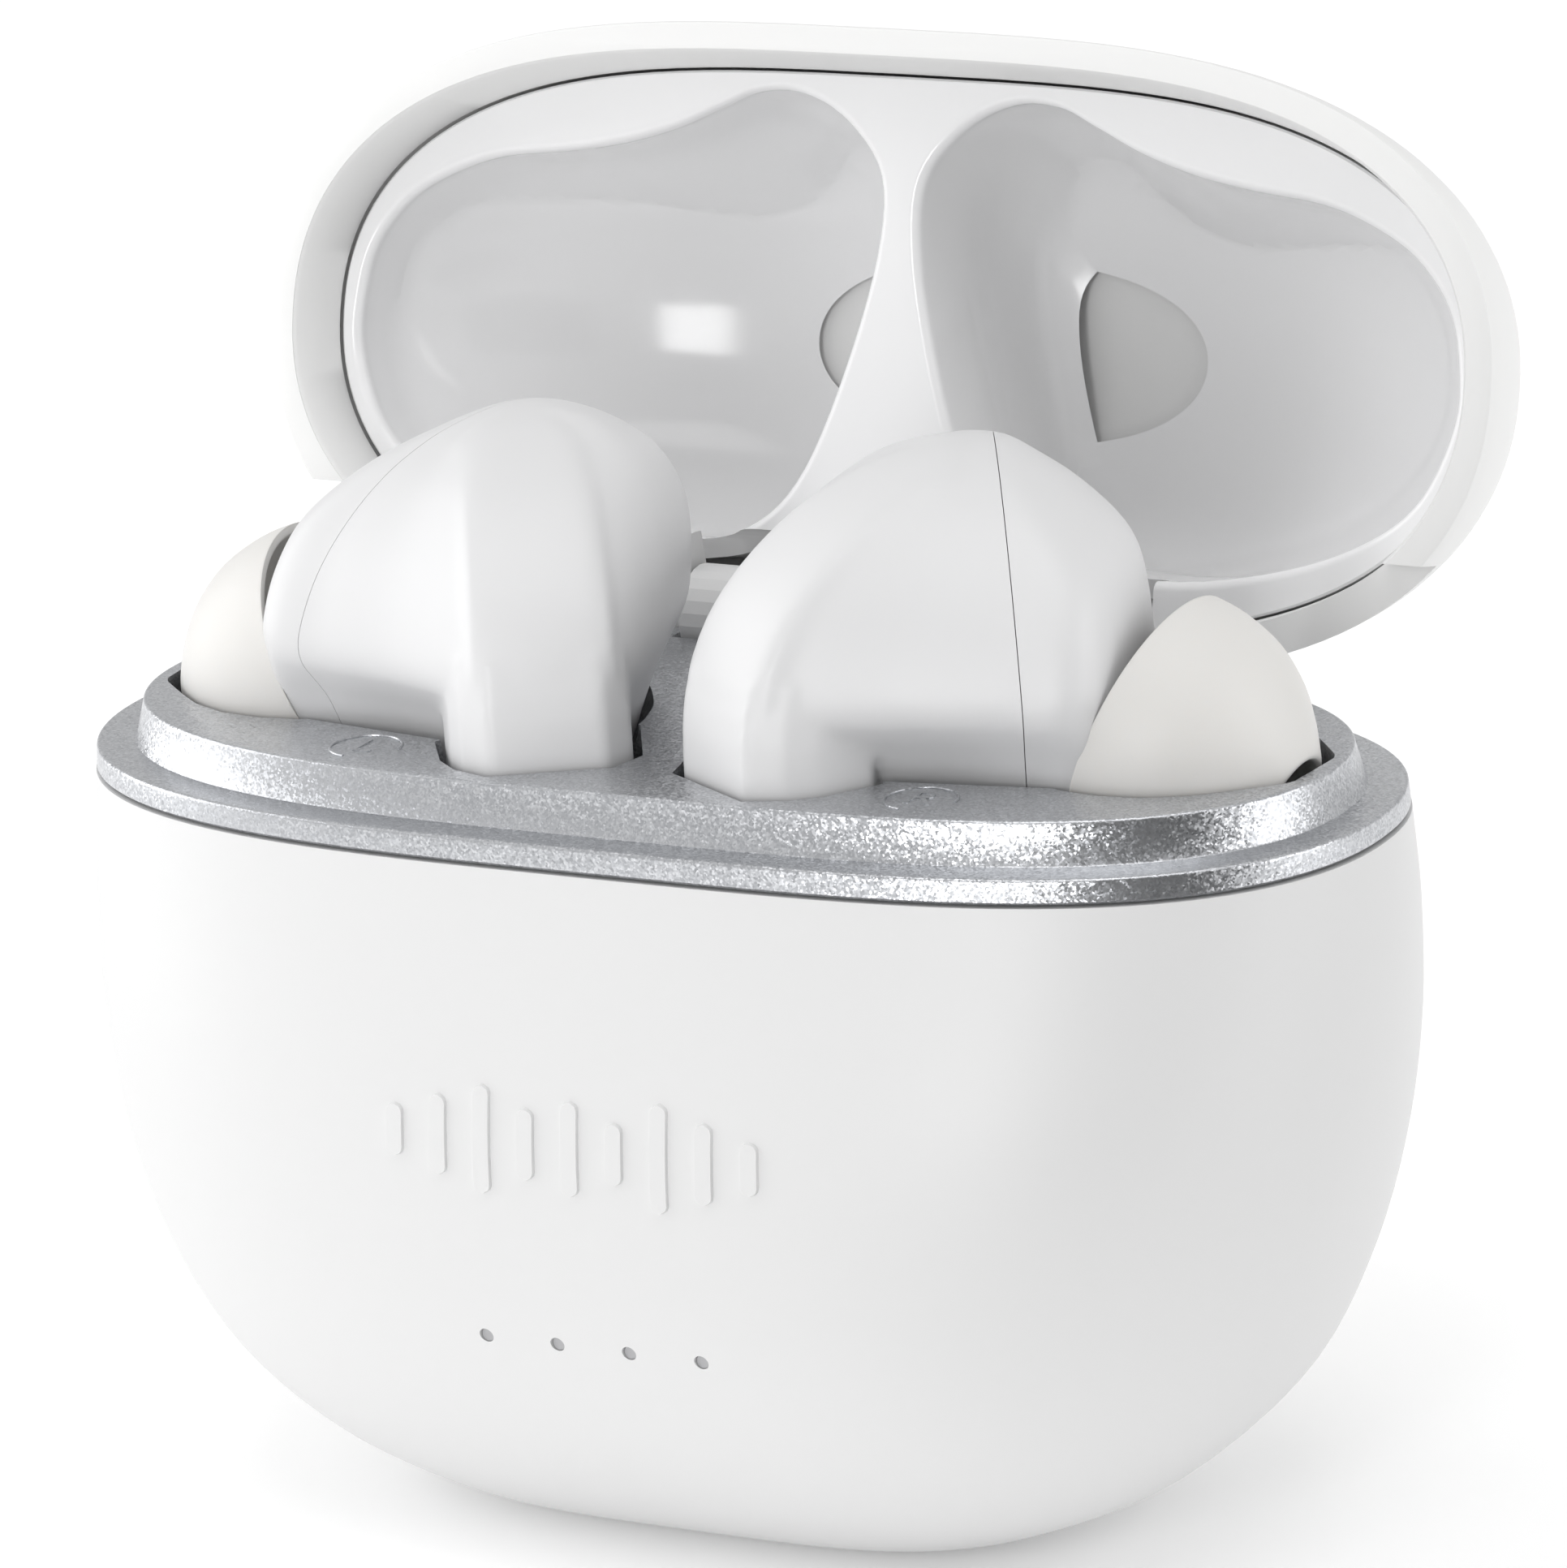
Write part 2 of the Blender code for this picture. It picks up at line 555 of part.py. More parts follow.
def lid_solid(inset, bottom, levels=9):
    """The outside of the lid, or the same shape inset, from a bottom height to its top."""
    rings = []
    top = LID_TOP_Z - inset
    for i in range(levels + 1):
        z = bottom + (top - 0.05 - bottom) * math.sin(math.pi / 2 * i / levels)
        rings.append(outline(lid_half_width(z, inset), lid_half_depth(z, inset), z))
    return loft(rings)


for side, sign in (("left", -1), ("right", 1)):
    inside, outside = sign * (KNUCKLE_HALF_WIDTH + 0.3), sign * HINGE_HALF_WIDTH
    ear = add_object(f"hinge_ear_{side}", rod(
        (inside, HINGE_Y, HINGE_Z), (outside, HINGE_Y, HINGE_Z), BARREL_RADIUS, 32), WHITE)
    combine(ear, cutter(f"ear_limit_{side}", lid_solid(0.1, LID_RIM_Z + 0.15)), "INTERSECT")
    cut(ear, f"ear_front_{side}", cuboid((-25, 0, 30), (25, 11.4, 42)))
    cut(ear, f"ear_pin_hole_{side}", rod(
        (sign * 7, HINGE_Y, HINGE_Z), (sign * 15, HINGE_Y, HINGE_Z), PIN_RADIUS + 0.12, 16))

hinge_pin = add_object("hinge_pin", rod(
    (-14, HINGE_Y, HINGE_Z), (14, HINGE_Y, HINGE_Z), PIN_RADIUS, 16), STEEL)


# ---------------------------------------------------------------- lid

lid_axis = bpy.data.objects.new("lid_axis", None)
lid_axis.location = (0, HINGE_Y * MM, HINGE_Z * MM)
bpy.context.scene.collection.objects.link(lid_axis)
bpy.context.view_layer.update()

lid_shell = add_object("lid_shell", lid_solid(0.0, LID_RIM_Z), WHITE, lid_axis)
lid_wall_levels = [
    (LID_RIM_Z - 1, LID_HALF_WIDTH - LID_RIM_WALL + 0.15, LID_HALF_DEPTH - LID_RIM_WALL + 0.15),
                   (35.4, LID_HALF_WIDTH - LID_RIM_WALL, LID_HALF_DEPTH - LID_RIM_WALL)]
for step in range(8):
    z = 37.0 + (LID_TOP_Z - CASE_WALL - 0.1 - 37.0) * math.sin(math.pi / 2 * step / 7)
    lid_wall_levels.append((z, lid_half_width(z, CASE_WALL), lid_half_depth(z, CASE_WALL)))
cut(lid_shell, "lid_hollow", loft([outline(w, d, z) for z, w, d in lid_wall_levels]))
notch = rod(
    (-NOTCH_HALF_WIDTH, HINGE_Y, HINGE_Z), (NOTCH_HALF_WIDTH, HINGE_Y, HINGE_Z), NOTCH_RADIUS, 32)
cut(lid_shell, "lid_notch", notch)
cut(lid_shell, "lid_rear_relief", cuboid((-40, 7.6, 30), (40, 20, 35.5)))

# The liner: a plate with a recess for each bud. The recess mouth follows the bud's plan.
RECESS = (
    (1.5, -7.2), (3.1, -9.4), (5.1, -10.8), (7.3, -10.8), (9.2, -9.8), (11.4, -8.7), (14.0, -7.8),
    (16.8, -7.2), (20.0, -7.2), (22.4, -6.6), (24.6, -5.3), (26.2, -3.3), (26.8, -1.0), (26.8, 1.6),
    (25.5, 4.8), (23.2, 6.8), (19.5, 8.3), (14.5, 9.2), (9.0, 8.9), (6.6, 7.5), (4.9, 5.0),
    (3.2, 0.8), (1.7, -3.9))
# (height, scale of the mouth across and back, shift of its middle in x and y)
RECESS_LEVELS = (
    (LINER_Z, 1.0, 1.0, 0.0, 0.0), (38.0, 1.0, 1.0, 0.0, 0.0), (41.0, 0.97, 0.97, -0.3, 0.2),
    (44.0, 0.90, 0.92, -1.2, 0.8), (46.3, 0.82, 0.86, -1.8, 1.3), (48.0, 0.72, 0.78, -2.2, 1.8),
    (48.8, 0.55, 0.62, -2.4, 2.1))
RECESS_MIDDLE = (13.4, -0.6)
RECESS_EASE = 0.45
LINER_THICKNESS = 0.9
CROWN_THICKNESS = 0.6


def recess(grow, extend):
    rings = []
    grow += RECESS_EASE
    for number, (z, scale_x, scale_y, shift_x, shift_y) in enumerate(RECESS_LEVELS):
        ring = []
        for x, y in RECESS:
            away = Vector(((x - RECESS_MIDDLE[0]) * scale_x, (y - RECESS_MIDDLE[1]) * scale_y, 0))
            spot = away + away.normalized() * grow
            ring.append((RECESS_MIDDLE[0] + spot.x + shift_x, RECESS_MIDDLE[1] + spot.y + shift_y,
                         z + grow * (z > 46) - (extend if number == 0 else 0)))
        rings.append(ring)
    return loft(rings)


lid_liner = add_object("lid_liner", loft([
    outline(27.75, 12.05, LINER_Z), outline(27.75, 12.05, LINER_Z + 1.2)]), GLOSS_WHITE, lid_axis)
liner_limit = cutter("liner_limit", lid_solid(CASE_WALL + 0.25, LINER_Z - 2))
pocket_limit = cutter("pocket_limit", lid_solid(CASE_WALL + 0.25 + CROWN_THICKNESS, LINER_Z - 3))
for side, flip in (("right", False), ("left", True)):
    pocket_wall = recess(LINER_THICKNESS, -0.5)
    join(lid_liner, f"pocket_wall_{side}", mirrored(pocket_wall) if flip else pocket_wall)
for side, flip in (("right", False), ("left", True)):
    pocket = recess(0.0, 0.5)
    pocket = cutter(f"pocket_{side}", mirrored(pocket) if flip else pocket)
    combine(lid_liner, pocket, "DIFFERENCE")
    combine(pocket, pocket_limit, "INTERSECT")
combine(lid_liner, liner_limit, "INTERSECT")
cut(lid_liner, "liner_notch", rod(
    (-NOTCH_HALF_WIDTH, HINGE_Y, HINGE_Z), (NOTCH_HALF_WIDTH, HINGE_Y, HINGE_Z), NOTCH_RADIUS, 32))

knuckle = add_object("hinge_knuckle", rod(
    (-KNUCKLE_HALF_WIDTH, HINGE_Y, HINGE_Z), (4.2, HINGE_Y, HINGE_Z), KNUCKLE_RADIUS, 24), WHITE, lid_axis)
join(knuckle, "knuckle_arm", cuboid((-KNUCKLE_HALF_WIDTH, 10.4, 36.0), (4.2, 13.0, 38.9)))
cut(knuckle, "knuckle_pin_hole", rod(
    (-10, HINGE_Y, HINGE_Z), (10, HINGE_Y, HINGE_Z), PIN_RADIUS + 0.12, 16))

lid_magnet = add_object("lid_magnet", cuboid((-2.3, 5.6, 37.8), (2.3, 8.0, 39.2), 0.2), STEEL, lid_axis)

lid_axis.rotation_euler = (-math.radians(LID_OPEN_DEGREES), 0, 0)

# The spring wraps the pin beside the knuckle and holds the lid shut or open.
SPRING_TURNS = 5
spring_curve = bpy.data.curves.new("hinge_spring", "CURVE")
spring_curve.dimensions = "3D"
spring_curve.bevel_depth = 0.22 * MM
spring_curve.bevel_resolution = 0
spring_curve.use_fill_caps = True
strand = spring_curve.splines.new("POLY")
SPRING_POINTS = SPRING_TURNS * 12
strand.points.add(SPRING_POINTS)
for i in range(SPRING_POINTS + 1):
    angle = 2 * math.pi * i / 12
    x = 4.75 + 2.9 * i / SPRING_POINTS
    strand.points[i].co = (
        x * MM, (HINGE_Y + 1.2 * math.cos(angle)) * MM, (HINGE_Z + 1.2 * math.sin(angle)) * MM, 1)
hinge_spring = bpy.data.objects.new("hinge_spring", spring_curve)
spring_curve.materials.append(STEEL)
bpy.context.scene.collection.objects.link(hinge_spring)


# ---------------------------------------------------------------- earbuds

def seam_half(name, keep_outer, flip):
    """A big block on one side of the plane where a bud's two shells meet."""
    gap = 0.08
    turn = SEAM_NORMAL.to_track_quat("Z", "Y").to_matrix().to_4x4()
    block = bmesh.new()
    bmesh.ops.create_cube(block, size=60.0)
    middle = SEAM_OFFSET + (30 - gap if keep_outer else gap - 30)
    foot = SEAM_NORMAL * middle + Vector((0, 0, DECK_TOP_Z))
    bmesh.ops.transform(block, matrix=Matrix.Translation(foot) @ turn, verts=block.verts)
    return cutter(name, mirrored(block) if flip else block)


for side, flip in (("left", True), ("right", False)):
    sign = -1 if flip else 1

    def placed(mesh_data):
        return mirrored(mesh_data) if flip else mesh_data

    def there(point):
        return Vector((sign * point[0], point[1], point[2]))

    foot = bud_point(0, PIN_BACK, STEM_BOTTOM)
    bud_axis = bpy.data.objects.new(f"bud_axis_{side}", None)
    bud_axis.location = there(foot) * MM
    bpy.context.scene.collection.objects.link(bud_axis)
    bpy.context.view_layer.update()

    # the outer shell with the stem
    outer = add_object(f"bud_outer_shell_{side}", placed(loft(head(0.0))), WHITE, bud_axis)
    join(outer, f"stem_solid_{side}", placed(loft(stem(0.0))))
    cut(outer, f"outer_hollow_{side}", placed(loft(head(-BUD_WALL))))
    inner_stem = placed(loft([
        [bud_point(a * 0.62, (b - 3.3) * 0.62 + 3.3 + lean, h) for a, b in STEM_PLAN]
        for h, lean in ((STEM_BOTTOM + 1.6, 0.0), (2.0, 0.6), (4.0, 1.4))]))
    cut(outer, f"stem_hollow_{side}", inner_stem)
    combine(outer, seam_half(f"beyond_seam_{side}", True, flip), "DIFFERENCE")

    # the ear-side shell with its nozzle
    ear_shell = add_object(f"bud_ear_shell_{side}", placed(loft(head(0.0))), WHITE, bud_axis)
    neck_start = TIP_CENTRE - TIP_AXIS * NECK_LENGTH
    join(ear_shell, f"neck_{side}", placed(rod(
        neck_start, TIP_CENTRE - TIP_AXIS * 0.3, NECK_RADIUS, 24, NOZZLE_RADIUS + 0.6)))
    cut(ear_shell, f"tip_room_{side}", placed(hull(tip_points(0.3))))
    join(ear_shell, f"nozzle_{side}", placed(rod(
        neck_start, TIP_CENTRE + TIP_AXIS * 4.6, NOZZLE_RADIUS, 20)))
    cut(ear_shell, f"ear_hollow_{side}", placed(loft(head(-BUD_WALL))))
    cut(ear_shell, f"nozzle_bore_{side}", placed(rod(
        TIP_CENTRE - TIP_AXIS * 6.5, TIP_CENTRE + TIP_AXIS * 6, NOZZLE_RADIUS - 0.7, 16)))
    combine(ear_shell, seam_half(f"before_seam_{side}", False, flip), "DIFFERENCE")

    add_object(f"nozzle_mesh_{side}", placed(rod(
        TIP_CENTRE + TIP_AXIS * 4.7, TIP_CENTRE + TIP_AXIS * 4.95, NOZZLE_RADIUS - 0.1, 20)), STEEL, bud_axis)
    add_object(f"ear_tip_{side}", placed(lathe(TIP_PROFILE, TIP_CENTRE, TIP_AXIS)), RUBBER, bud_axis)

    # inside the bud
    cell = bud_point(2.0, 10.7, 4.6)
    cell_axis = SEAM_NORMAL
    can = placed(rod(cell - cell_axis * 3.6, cell + cell_axis * 0.2, 3.7, 20))
    add_object(f"bud_battery_{side}", can, STEEL, bud_axis)
    driver_end = cell + cell_axis * 4.2
    driver = placed(rod(driver_end - cell_axis * 2.2, driver_end, 3.6, 20))
    add_object(f"bud_driver_{side}", driver, BLACK, bud_axis)
    disc = placed(rod(cell + cell_axis * 0.6, cell + cell_axis * 1.4, 4.0, 20))
    add_object(f"bud_board_{side}", disc, GREEN, bud_axis)
    antenna = [
        bud_point(across, 3.3 + back, height)
        for height in (STEM_BOTTOM + 2.2, 0.5) for across in (-1.6, 1.6) for back in (-0.3, 0.3)]
    add_object(f"bud_stem_board_{side}", placed(hull(antenna)), GREEN, bud_axis)
    for place, across in (("inner", -PIN_SPREAD), ("outer", PIN_SPREAD)):
        pad = bud_point(across, PIN_BACK, STEM_BOTTOM)
        seat = placed(rod(pad - Vector((0, 0, 1)), pad + Vector((0, 0, 0.6)), 0.85, 12))
        cut(outer, f"pad_seat_{side}_{place}", seat)
        disc = placed(rod(pad, pad + Vector((0, 0, 0.5)), 0.75, 12))
        add_object(f"bud_contact_{side}_{place}", disc, GOLD, bud_axis)

bpy.context.view_layer.update()
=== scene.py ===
"""A wireless earbuds case: white body, silver deck with two earbuds, and an open lid."""
import json
import math

import bmesh
import bpy
from mathutils import Matrix, Vector


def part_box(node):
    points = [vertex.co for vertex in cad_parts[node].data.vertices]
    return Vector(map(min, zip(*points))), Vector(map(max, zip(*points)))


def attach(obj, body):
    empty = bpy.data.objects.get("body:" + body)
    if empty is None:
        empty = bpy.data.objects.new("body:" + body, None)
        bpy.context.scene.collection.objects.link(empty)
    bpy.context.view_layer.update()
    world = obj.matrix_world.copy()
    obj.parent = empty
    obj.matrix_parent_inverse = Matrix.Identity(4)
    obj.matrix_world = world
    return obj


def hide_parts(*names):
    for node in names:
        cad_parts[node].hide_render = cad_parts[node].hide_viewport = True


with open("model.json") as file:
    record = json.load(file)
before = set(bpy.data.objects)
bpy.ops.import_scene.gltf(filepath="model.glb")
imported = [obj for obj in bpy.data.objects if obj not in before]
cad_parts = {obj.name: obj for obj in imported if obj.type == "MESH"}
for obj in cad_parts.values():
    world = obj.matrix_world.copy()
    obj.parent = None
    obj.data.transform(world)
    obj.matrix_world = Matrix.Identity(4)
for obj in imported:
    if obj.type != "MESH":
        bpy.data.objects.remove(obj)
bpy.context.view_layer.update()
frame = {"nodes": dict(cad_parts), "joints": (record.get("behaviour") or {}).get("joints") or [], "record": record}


# The camera stands a little to the right of the case, above its seam, with a long lens.
CAMERA_PLACE = Vector((0.17293, -0.31722, 0.14246))
CAMERA_YAW = math.radians(28.1)
CAMERA_PITCH = math.radians(17.05)
CAMERA_ROLL = math.radians(-3.5)
CAMERA_LENS = 202.7
CAMERA_SENSOR = 36
CAMERA_SHIFT = -0.0192
camera_data = bpy.data.cameras.new("camera")
camera_data.lens = CAMERA_LENS
camera_data.sensor_width = CAMERA_SENSOR
camera_data.shift_x = CAMERA_SHIFT
camera = bpy.data.objects.new("camera", camera_data)
bpy.context.scene.collection.objects.link(camera)
camera.matrix_world = (
    Matrix.Translation(CAMERA_PLACE)
    @ Matrix.Rotation(CAMERA_YAW, 4, "Z")
    @ Matrix.Rotation(math.pi / 2 - CAMERA_PITCH, 4, "X")
    @ Matrix.Rotation(CAMERA_ROLL, 4, "Z"))
bpy.context.scene.camera = camera
bpy.context.scene.view_settings.view_transform = "Standard"


# The floor is a plain pale sheet. Soft lights hang at the left, the right, in front and above,
# and a black flag, which the camera doesn't see, keeps part of the silver rim dark.
FLOOR_SIZE = 4.0
FLOOR_COLOUR = (0.95, 0.95, 0.95)
FLOOR_GLOW = 0.12
WORLD_STRENGTH = 0.66
LIGHT_AIM = Vector((0, 0, 0.03))
# Each light's name, azimuth, elevation, distance, width, height and power.
LIGHTS = (
    ("light_left", -172, 18, 0.6, 0.5, 0.5, 1.6),
    ("light_right", 10, 18, 0.6, 0.35, 0.5, 1.1),
    ("light_front", -84, 6, 0.35, 0.07, 0.25, 0.5),
    ("light_top", -60, 80, 0.7, 0.5, 0.5, 1.2))
FLAG_AZIMUTH = math.radians(-44)
FLAG_DISTANCE = 0.09
FLAG_MIDDLE_Z = 0.051
FLAG_WIDTH = 0.075
FLAG_HEIGHT = 0.10


def add_material(name, colour, roughness, metallic=0.0):
    made = bpy.data.materials.new(name)
    made.use_nodes = True
    shader = made.node_tree.nodes["Principled BSDF"]
    shader.inputs["Base Color"].default_value = (*colour, 1.0)
    shader.inputs["Roughness"].default_value = roughness
    shader.inputs["Metallic"].default_value = metallic
    return made


def add_soft_light(name, azimuth, elevation, distance, width, height, power):
    """An area light aimed at the case from a direction in degrees, with sizes in metres."""
    around, lift = math.radians(azimuth), math.radians(elevation)
    way = Vector((math.cos(around) * math.cos(lift), math.sin(around) * math.cos(lift),
                  math.sin(lift)))
    data = bpy.data.lights.new(name, "AREA")
    data.shape = "RECTANGLE"
    data.size = width
    data.size_y = height
    data.energy = power
    light = bpy.data.objects.new(name, data)
    bpy.context.scene.collection.objects.link(light)
    light.location = way * distance + LIGHT_AIM
    light.rotation_mode = "QUATERNION"
    light.rotation_quaternion = (-way).to_track_quat("-Z", "Y")


def add_backdrop(name, shape, surface):
    """Makes a bmesh into an object that belongs to the studio, not to the case."""
    mesh = bpy.data.meshes.new(name)
    shape.to_mesh(mesh)
    shape.free()
    mesh.materials.append(surface)
    backdrop = bpy.data.objects.new(name, mesh)
    bpy.context.scene.collection.objects.link(backdrop)
    return backdrop


sheet = add_material("floor_sheet", FLOOR_COLOUR, 0.9)
sheet_shader = sheet.node_tree.nodes["Principled BSDF"]
sheet_shader.inputs["Emission Color"].default_value = (1, 1, 1, 1)
sheet_shader.inputs["Emission Strength"].default_value = FLOOR_GLOW
floor_shape = bmesh.new()
bmesh.ops.create_grid(floor_shape, x_segments=1, y_segments=1, size=FLOOR_SIZE)
floor = add_backdrop("floor", floor_shape, sheet)

world = bpy.data.worlds.new("studio")
world.use_nodes = True
world.node_tree.nodes["Background"].inputs["Color"].default_value = (1, 1, 1, 1)
world.node_tree.nodes["Background"].inputs["Strength"].default_value = WORLD_STRENGTH
bpy.context.scene.world = world
for light_row in LIGHTS:
    add_soft_light(*light_row)
flag_shape = bmesh.new()
bmesh.ops.create_grid(flag_shape, x_segments=1, y_segments=1, size=0.5)
bmesh.ops.scale(flag_shape, vec=(FLAG_WIDTH, FLAG_HEIGHT, 1), verts=flag_shape.verts)
flag_way = Vector((math.cos(FLAG_AZIMUTH), math.sin(FLAG_AZIMUTH), 0))
flag_turn = flag_way.to_track_quat("Z", "Y").to_matrix().to_4x4()
flag_place = Matrix.Translation(flag_way * FLAG_DISTANCE + Vector((0, 0, FLAG_MIDDLE_Z)))
bmesh.ops.transform(flag_shape, matrix=flag_place @ flag_turn, verts=flag_shape.verts)
flag = add_backdrop("black_flag", flag_shape, add_material("black_cloth", (0.02, 0.02, 0.02), 0.9))
flag.visible_camera = False


# The body is one moulded pebble of white plastic, 1.5 mm thick, with a fine satin texture. It
# has four small round windows for the charge lights at the front and a USB-C slot at the rear.
MM = 0.001
SEAM_Z = 32.0
OUTLINE_SIDES = 144
TOP_POWERS = (3.39, 2.18)
BASE_POWERS = (3.78, 2.57)
BODY_WALL = 1.5
WINDOW_RADIUS = 0.33
WINDOW_DROP = 0.15
USB_SLOT = (9.2, 8, 3.4)
USB_SLOT_ROUND = 1.6
USB_SLOT_Y = 17.2
# The body's levels from the base up: height, half width and half depth.
PEBBLE = (
    (0.0, 9.0, 4.6), (0.05, 11.6, 6.2), (0.5, 13.7, 7.9), (1.5, 16.6, 9.6), (3.7, 20.9, 11.7),
    (7.3, 24.6, 14.0), (12.1, 27.0, 16.1), (17.3, 28.6, 16.95), (22.55, 29.6, 16.6),
    (27.8, 30.1, 15.2), (SEAM_Z, 30.1, 14.1))


def through(keys, steps):
    """Points along one smooth curve through the keys, with this many steps to a span."""
    keys = [Vector(key) for key in keys]
    ends = [keys[0] * 2 - keys[1]] + keys + [keys[-1] * 2 - keys[-2]]
    points = []
    for a, b, c, d in zip(ends, ends[1:], ends[2:], ends[3:]):
        for i in range(steps):
            t = i / steps
            points.append(0.5 * (2 * b + (c - a) * t + (2 * a - 5 * b + 4 * c - d) * t ** 2
                                 + (3 * b - a - 3 * c + d) * t ** 3))
    return points + [keys[-1]]


def round_through(keys, steps):
    """The same for a closed curve."""
    keys = [Vector(key) for key in keys]
    count = len(keys)
    points = []
    for i in range(count):
        a, b, c, d = (keys[(i + k) % count] for k in (-1, 0, 1, 2))
        for j in range(steps):
            t = j / steps
            points.append(0.5 * (2 * b + (c - a) * t + (2 * a - 5 * b + 4 * c - d) * t ** 2
                                 + (3 * b - a - 3 * c + d) * t ** 3))
    return points


def outline(half_width, half_depth, z, powers=TOP_POWERS, sides=OUTLINE_SIDES):
    """One level of the case: its rounded outline, in millimetres."""
    ring = []
    for i in range(sides):
        angle = 2 * math.pi * i / sides
        c, s = math.cos(angle), math.sin(angle)
        ring.append(Vector((half_width * math.copysign(abs(c) ** (2 / powers[0]), c),
                            half_depth * math.copysign(abs(s) ** (2 / powers[1]), s), z)))
    return ring


def ring_edges(loop):
    """The edges that join a closed loop of vertices, in order."""
    found = []
    for one, other in zip(loop, loop[1:] + loop[:1]):
        found.append(next(e for e in one.link_edges if e.other_vert(one) is other))
    return found


def skin(rings):
    """A closed solid stretched over a stack of outlines, each with the same count of points."""
    shape = bmesh.new()
    loop = bmesh.ops.create_circle(shape, segments=len(rings[0]), radius=1)["verts"]
    for vert, place in zip(loop, rings[0]):
        vert.co = place * MM
    bmesh.ops.contextual_create(shape, geom=ring_edges(loop))
    for ring in rings[1:]:
        grown = bmesh.ops.extrude_edge_only(shape, edges=ring_edges(loop))["geom"]
        fresh = {item for item in grown if isinstance(item, bmesh.types.BMVert)}
        loop = [next(e.other_vert(v) for e in v.link_edges if e.other_vert(v) in fresh)
                for v in loop]
        for vert, place in zip(loop, ring):
            vert.co = place * MM
    bmesh.ops.contextual_create(shape, geom=ring_edges(loop))
    bmesh.ops.recalc_face_normals(shape, faces=shape.faces)
    return shape


def add_piece(name, shape, surface, sharp_degrees=40):
    """Makes a bmesh into a named, smooth-shaded object."""
    mesh = bpy.data.meshes.new(name)
    shape.to_mesh(mesh)
    shape.free()
    mesh.materials.append(surface)
    mesh.shade_smooth()
    mesh.set_sharp_from_angle(angle=math.radians(sharp_degrees))
    piece = bpy.data.objects.new(name, mesh)
    bpy.context.scene.collection.objects.link(piece)
    return piece


def carve(piece, shape, operation="DIFFERENCE"):
    """Cuts a shape out of a piece, or joins it on, and keeps only the result."""
    helper = add_piece("helper", shape, piece.data.materials[0])
    modifier = piece.modifiers.new("carve", "BOOLEAN")
    modifier.operation = operation
    modifier.solver = "EXACT"
    modifier.object = helper
    settle(piece)
    bpy.data.objects.remove(helper, do_unlink=True)


def settle(piece, sharp_degrees=40):
    """Makes a piece's modifiers part of its mesh."""
    bpy.context.view_layer.update()
    graph = bpy.context.evaluated_depsgraph_get()
    mesh = bpy.data.meshes.new_from_object(piece.evaluated_get(graph))
    piece.modifiers.clear()
    piece.data = mesh
    mesh.shade_smooth()
    mesh.set_sharp_from_angle(angle=math.radians(sharp_degrees))


def rod(start, end, radius, sides=32, end_radius=None):
    """A round bar between two points, tapered where it has a second radius."""
    start, end = Vector(start), Vector(end)
    shape = bmesh.new()
    bmesh.ops.create_cone(
        shape, cap_ends=True, segments=sides, radius1=radius * MM,
        radius2=(radius if end_radius is None else end_radius) * MM,
        depth=(end - start).length * MM)
    turn = (end - start).to_track_quat("Z", "Y").to_matrix().to_4x4()
    place = Matrix.Translation((start + end) / 2 * MM)
    bmesh.ops.transform(shape, matrix=place @ turn, verts=shape.verts)
    return shape


def block(size, middle):
    """A plain box, by its size and the place of its middle, in millimetres."""
    shape = bmesh.new()
    bmesh.ops.create_cube(shape, size=1)
    bmesh.ops.scale(shape, vec=[side * MM for side in size], verts=shape.verts)
    bmesh.ops.translate(shape, vec=[place * MM for place in middle], verts=shape.verts)
    return shape


def satin_plastic(name, colour, roughness, grain, depth):
    """Moulded plastic with a fine spark-eroded grain, its size in grains to a metre."""
    made = add_material(name, colour, roughness)
    nodes, links = made.node_tree.nodes, made.node_tree.links
    shader = nodes["Principled BSDF"]
    place = nodes.new("ShaderNodeTexCoord")
    speckle = nodes.new("ShaderNodeTexNoise")
    speckle.inputs["Scale"].default_value = grain
    speckle.inputs["Detail"].default_value = 3
    links.new(place.outputs["Object"], speckle.inputs["Vector"])
    bump = nodes.new("ShaderNodeBump")
    bump.inputs["Strength"].default_value = 0.35
    bump.inputs["Distance"].default_value = depth * MM
    links.new(speckle.outputs["Fac"], bump.inputs["Height"])
    links.new(bump.outputs["Normal"], shader.inputs["Normal"])
    cloud = nodes.new("ShaderNodeTexNoise")
    cloud.inputs["Scale"].default_value = 60
    links.new(place.outputs["Object"], cloud.inputs["Vector"])
    wear = nodes.new("ShaderNodeMapRange")
    wear.inputs["To Min"].default_value = roughness - 0.05
    wear.inputs["To Max"].default_value = roughness + 0.05
    links.new(cloud.outputs["Fac"], wear.inputs["Value"])
    links.new(wear.outputs["Result"], shader.inputs["Roughness"])
    return made


WHITE = satin_plastic("white_satin", (0.69, 0.69, 0.69), 0.45, 5000, 0.004)
body_levels = []
for z, half_width, half_depth in through(PEBBLE, 5):
    share = z / SEAM_Z
    powers = [low + (high - low) * share for low, high in zip(BASE_POWERS, TOP_POWERS)]
    body_levels.append(outline(half_width, half_depth, z, powers))
for inset, drop in ((0.05, 0.0), (BODY_WALL - 0.1, 0.0), (BODY_WALL, 0.1)):
    body_levels.append(outline(PEBBLE[-1][1] - inset, PEBBLE[-1][2] - inset, SEAM_Z - drop))
body_levels.append(outline(PEBBLE[-1][1] - BODY_WALL, PEBBLE[-1][2] - BODY_WALL, 26.0))
body = add_piece("body_shell", skin(body_levels), WHITE)

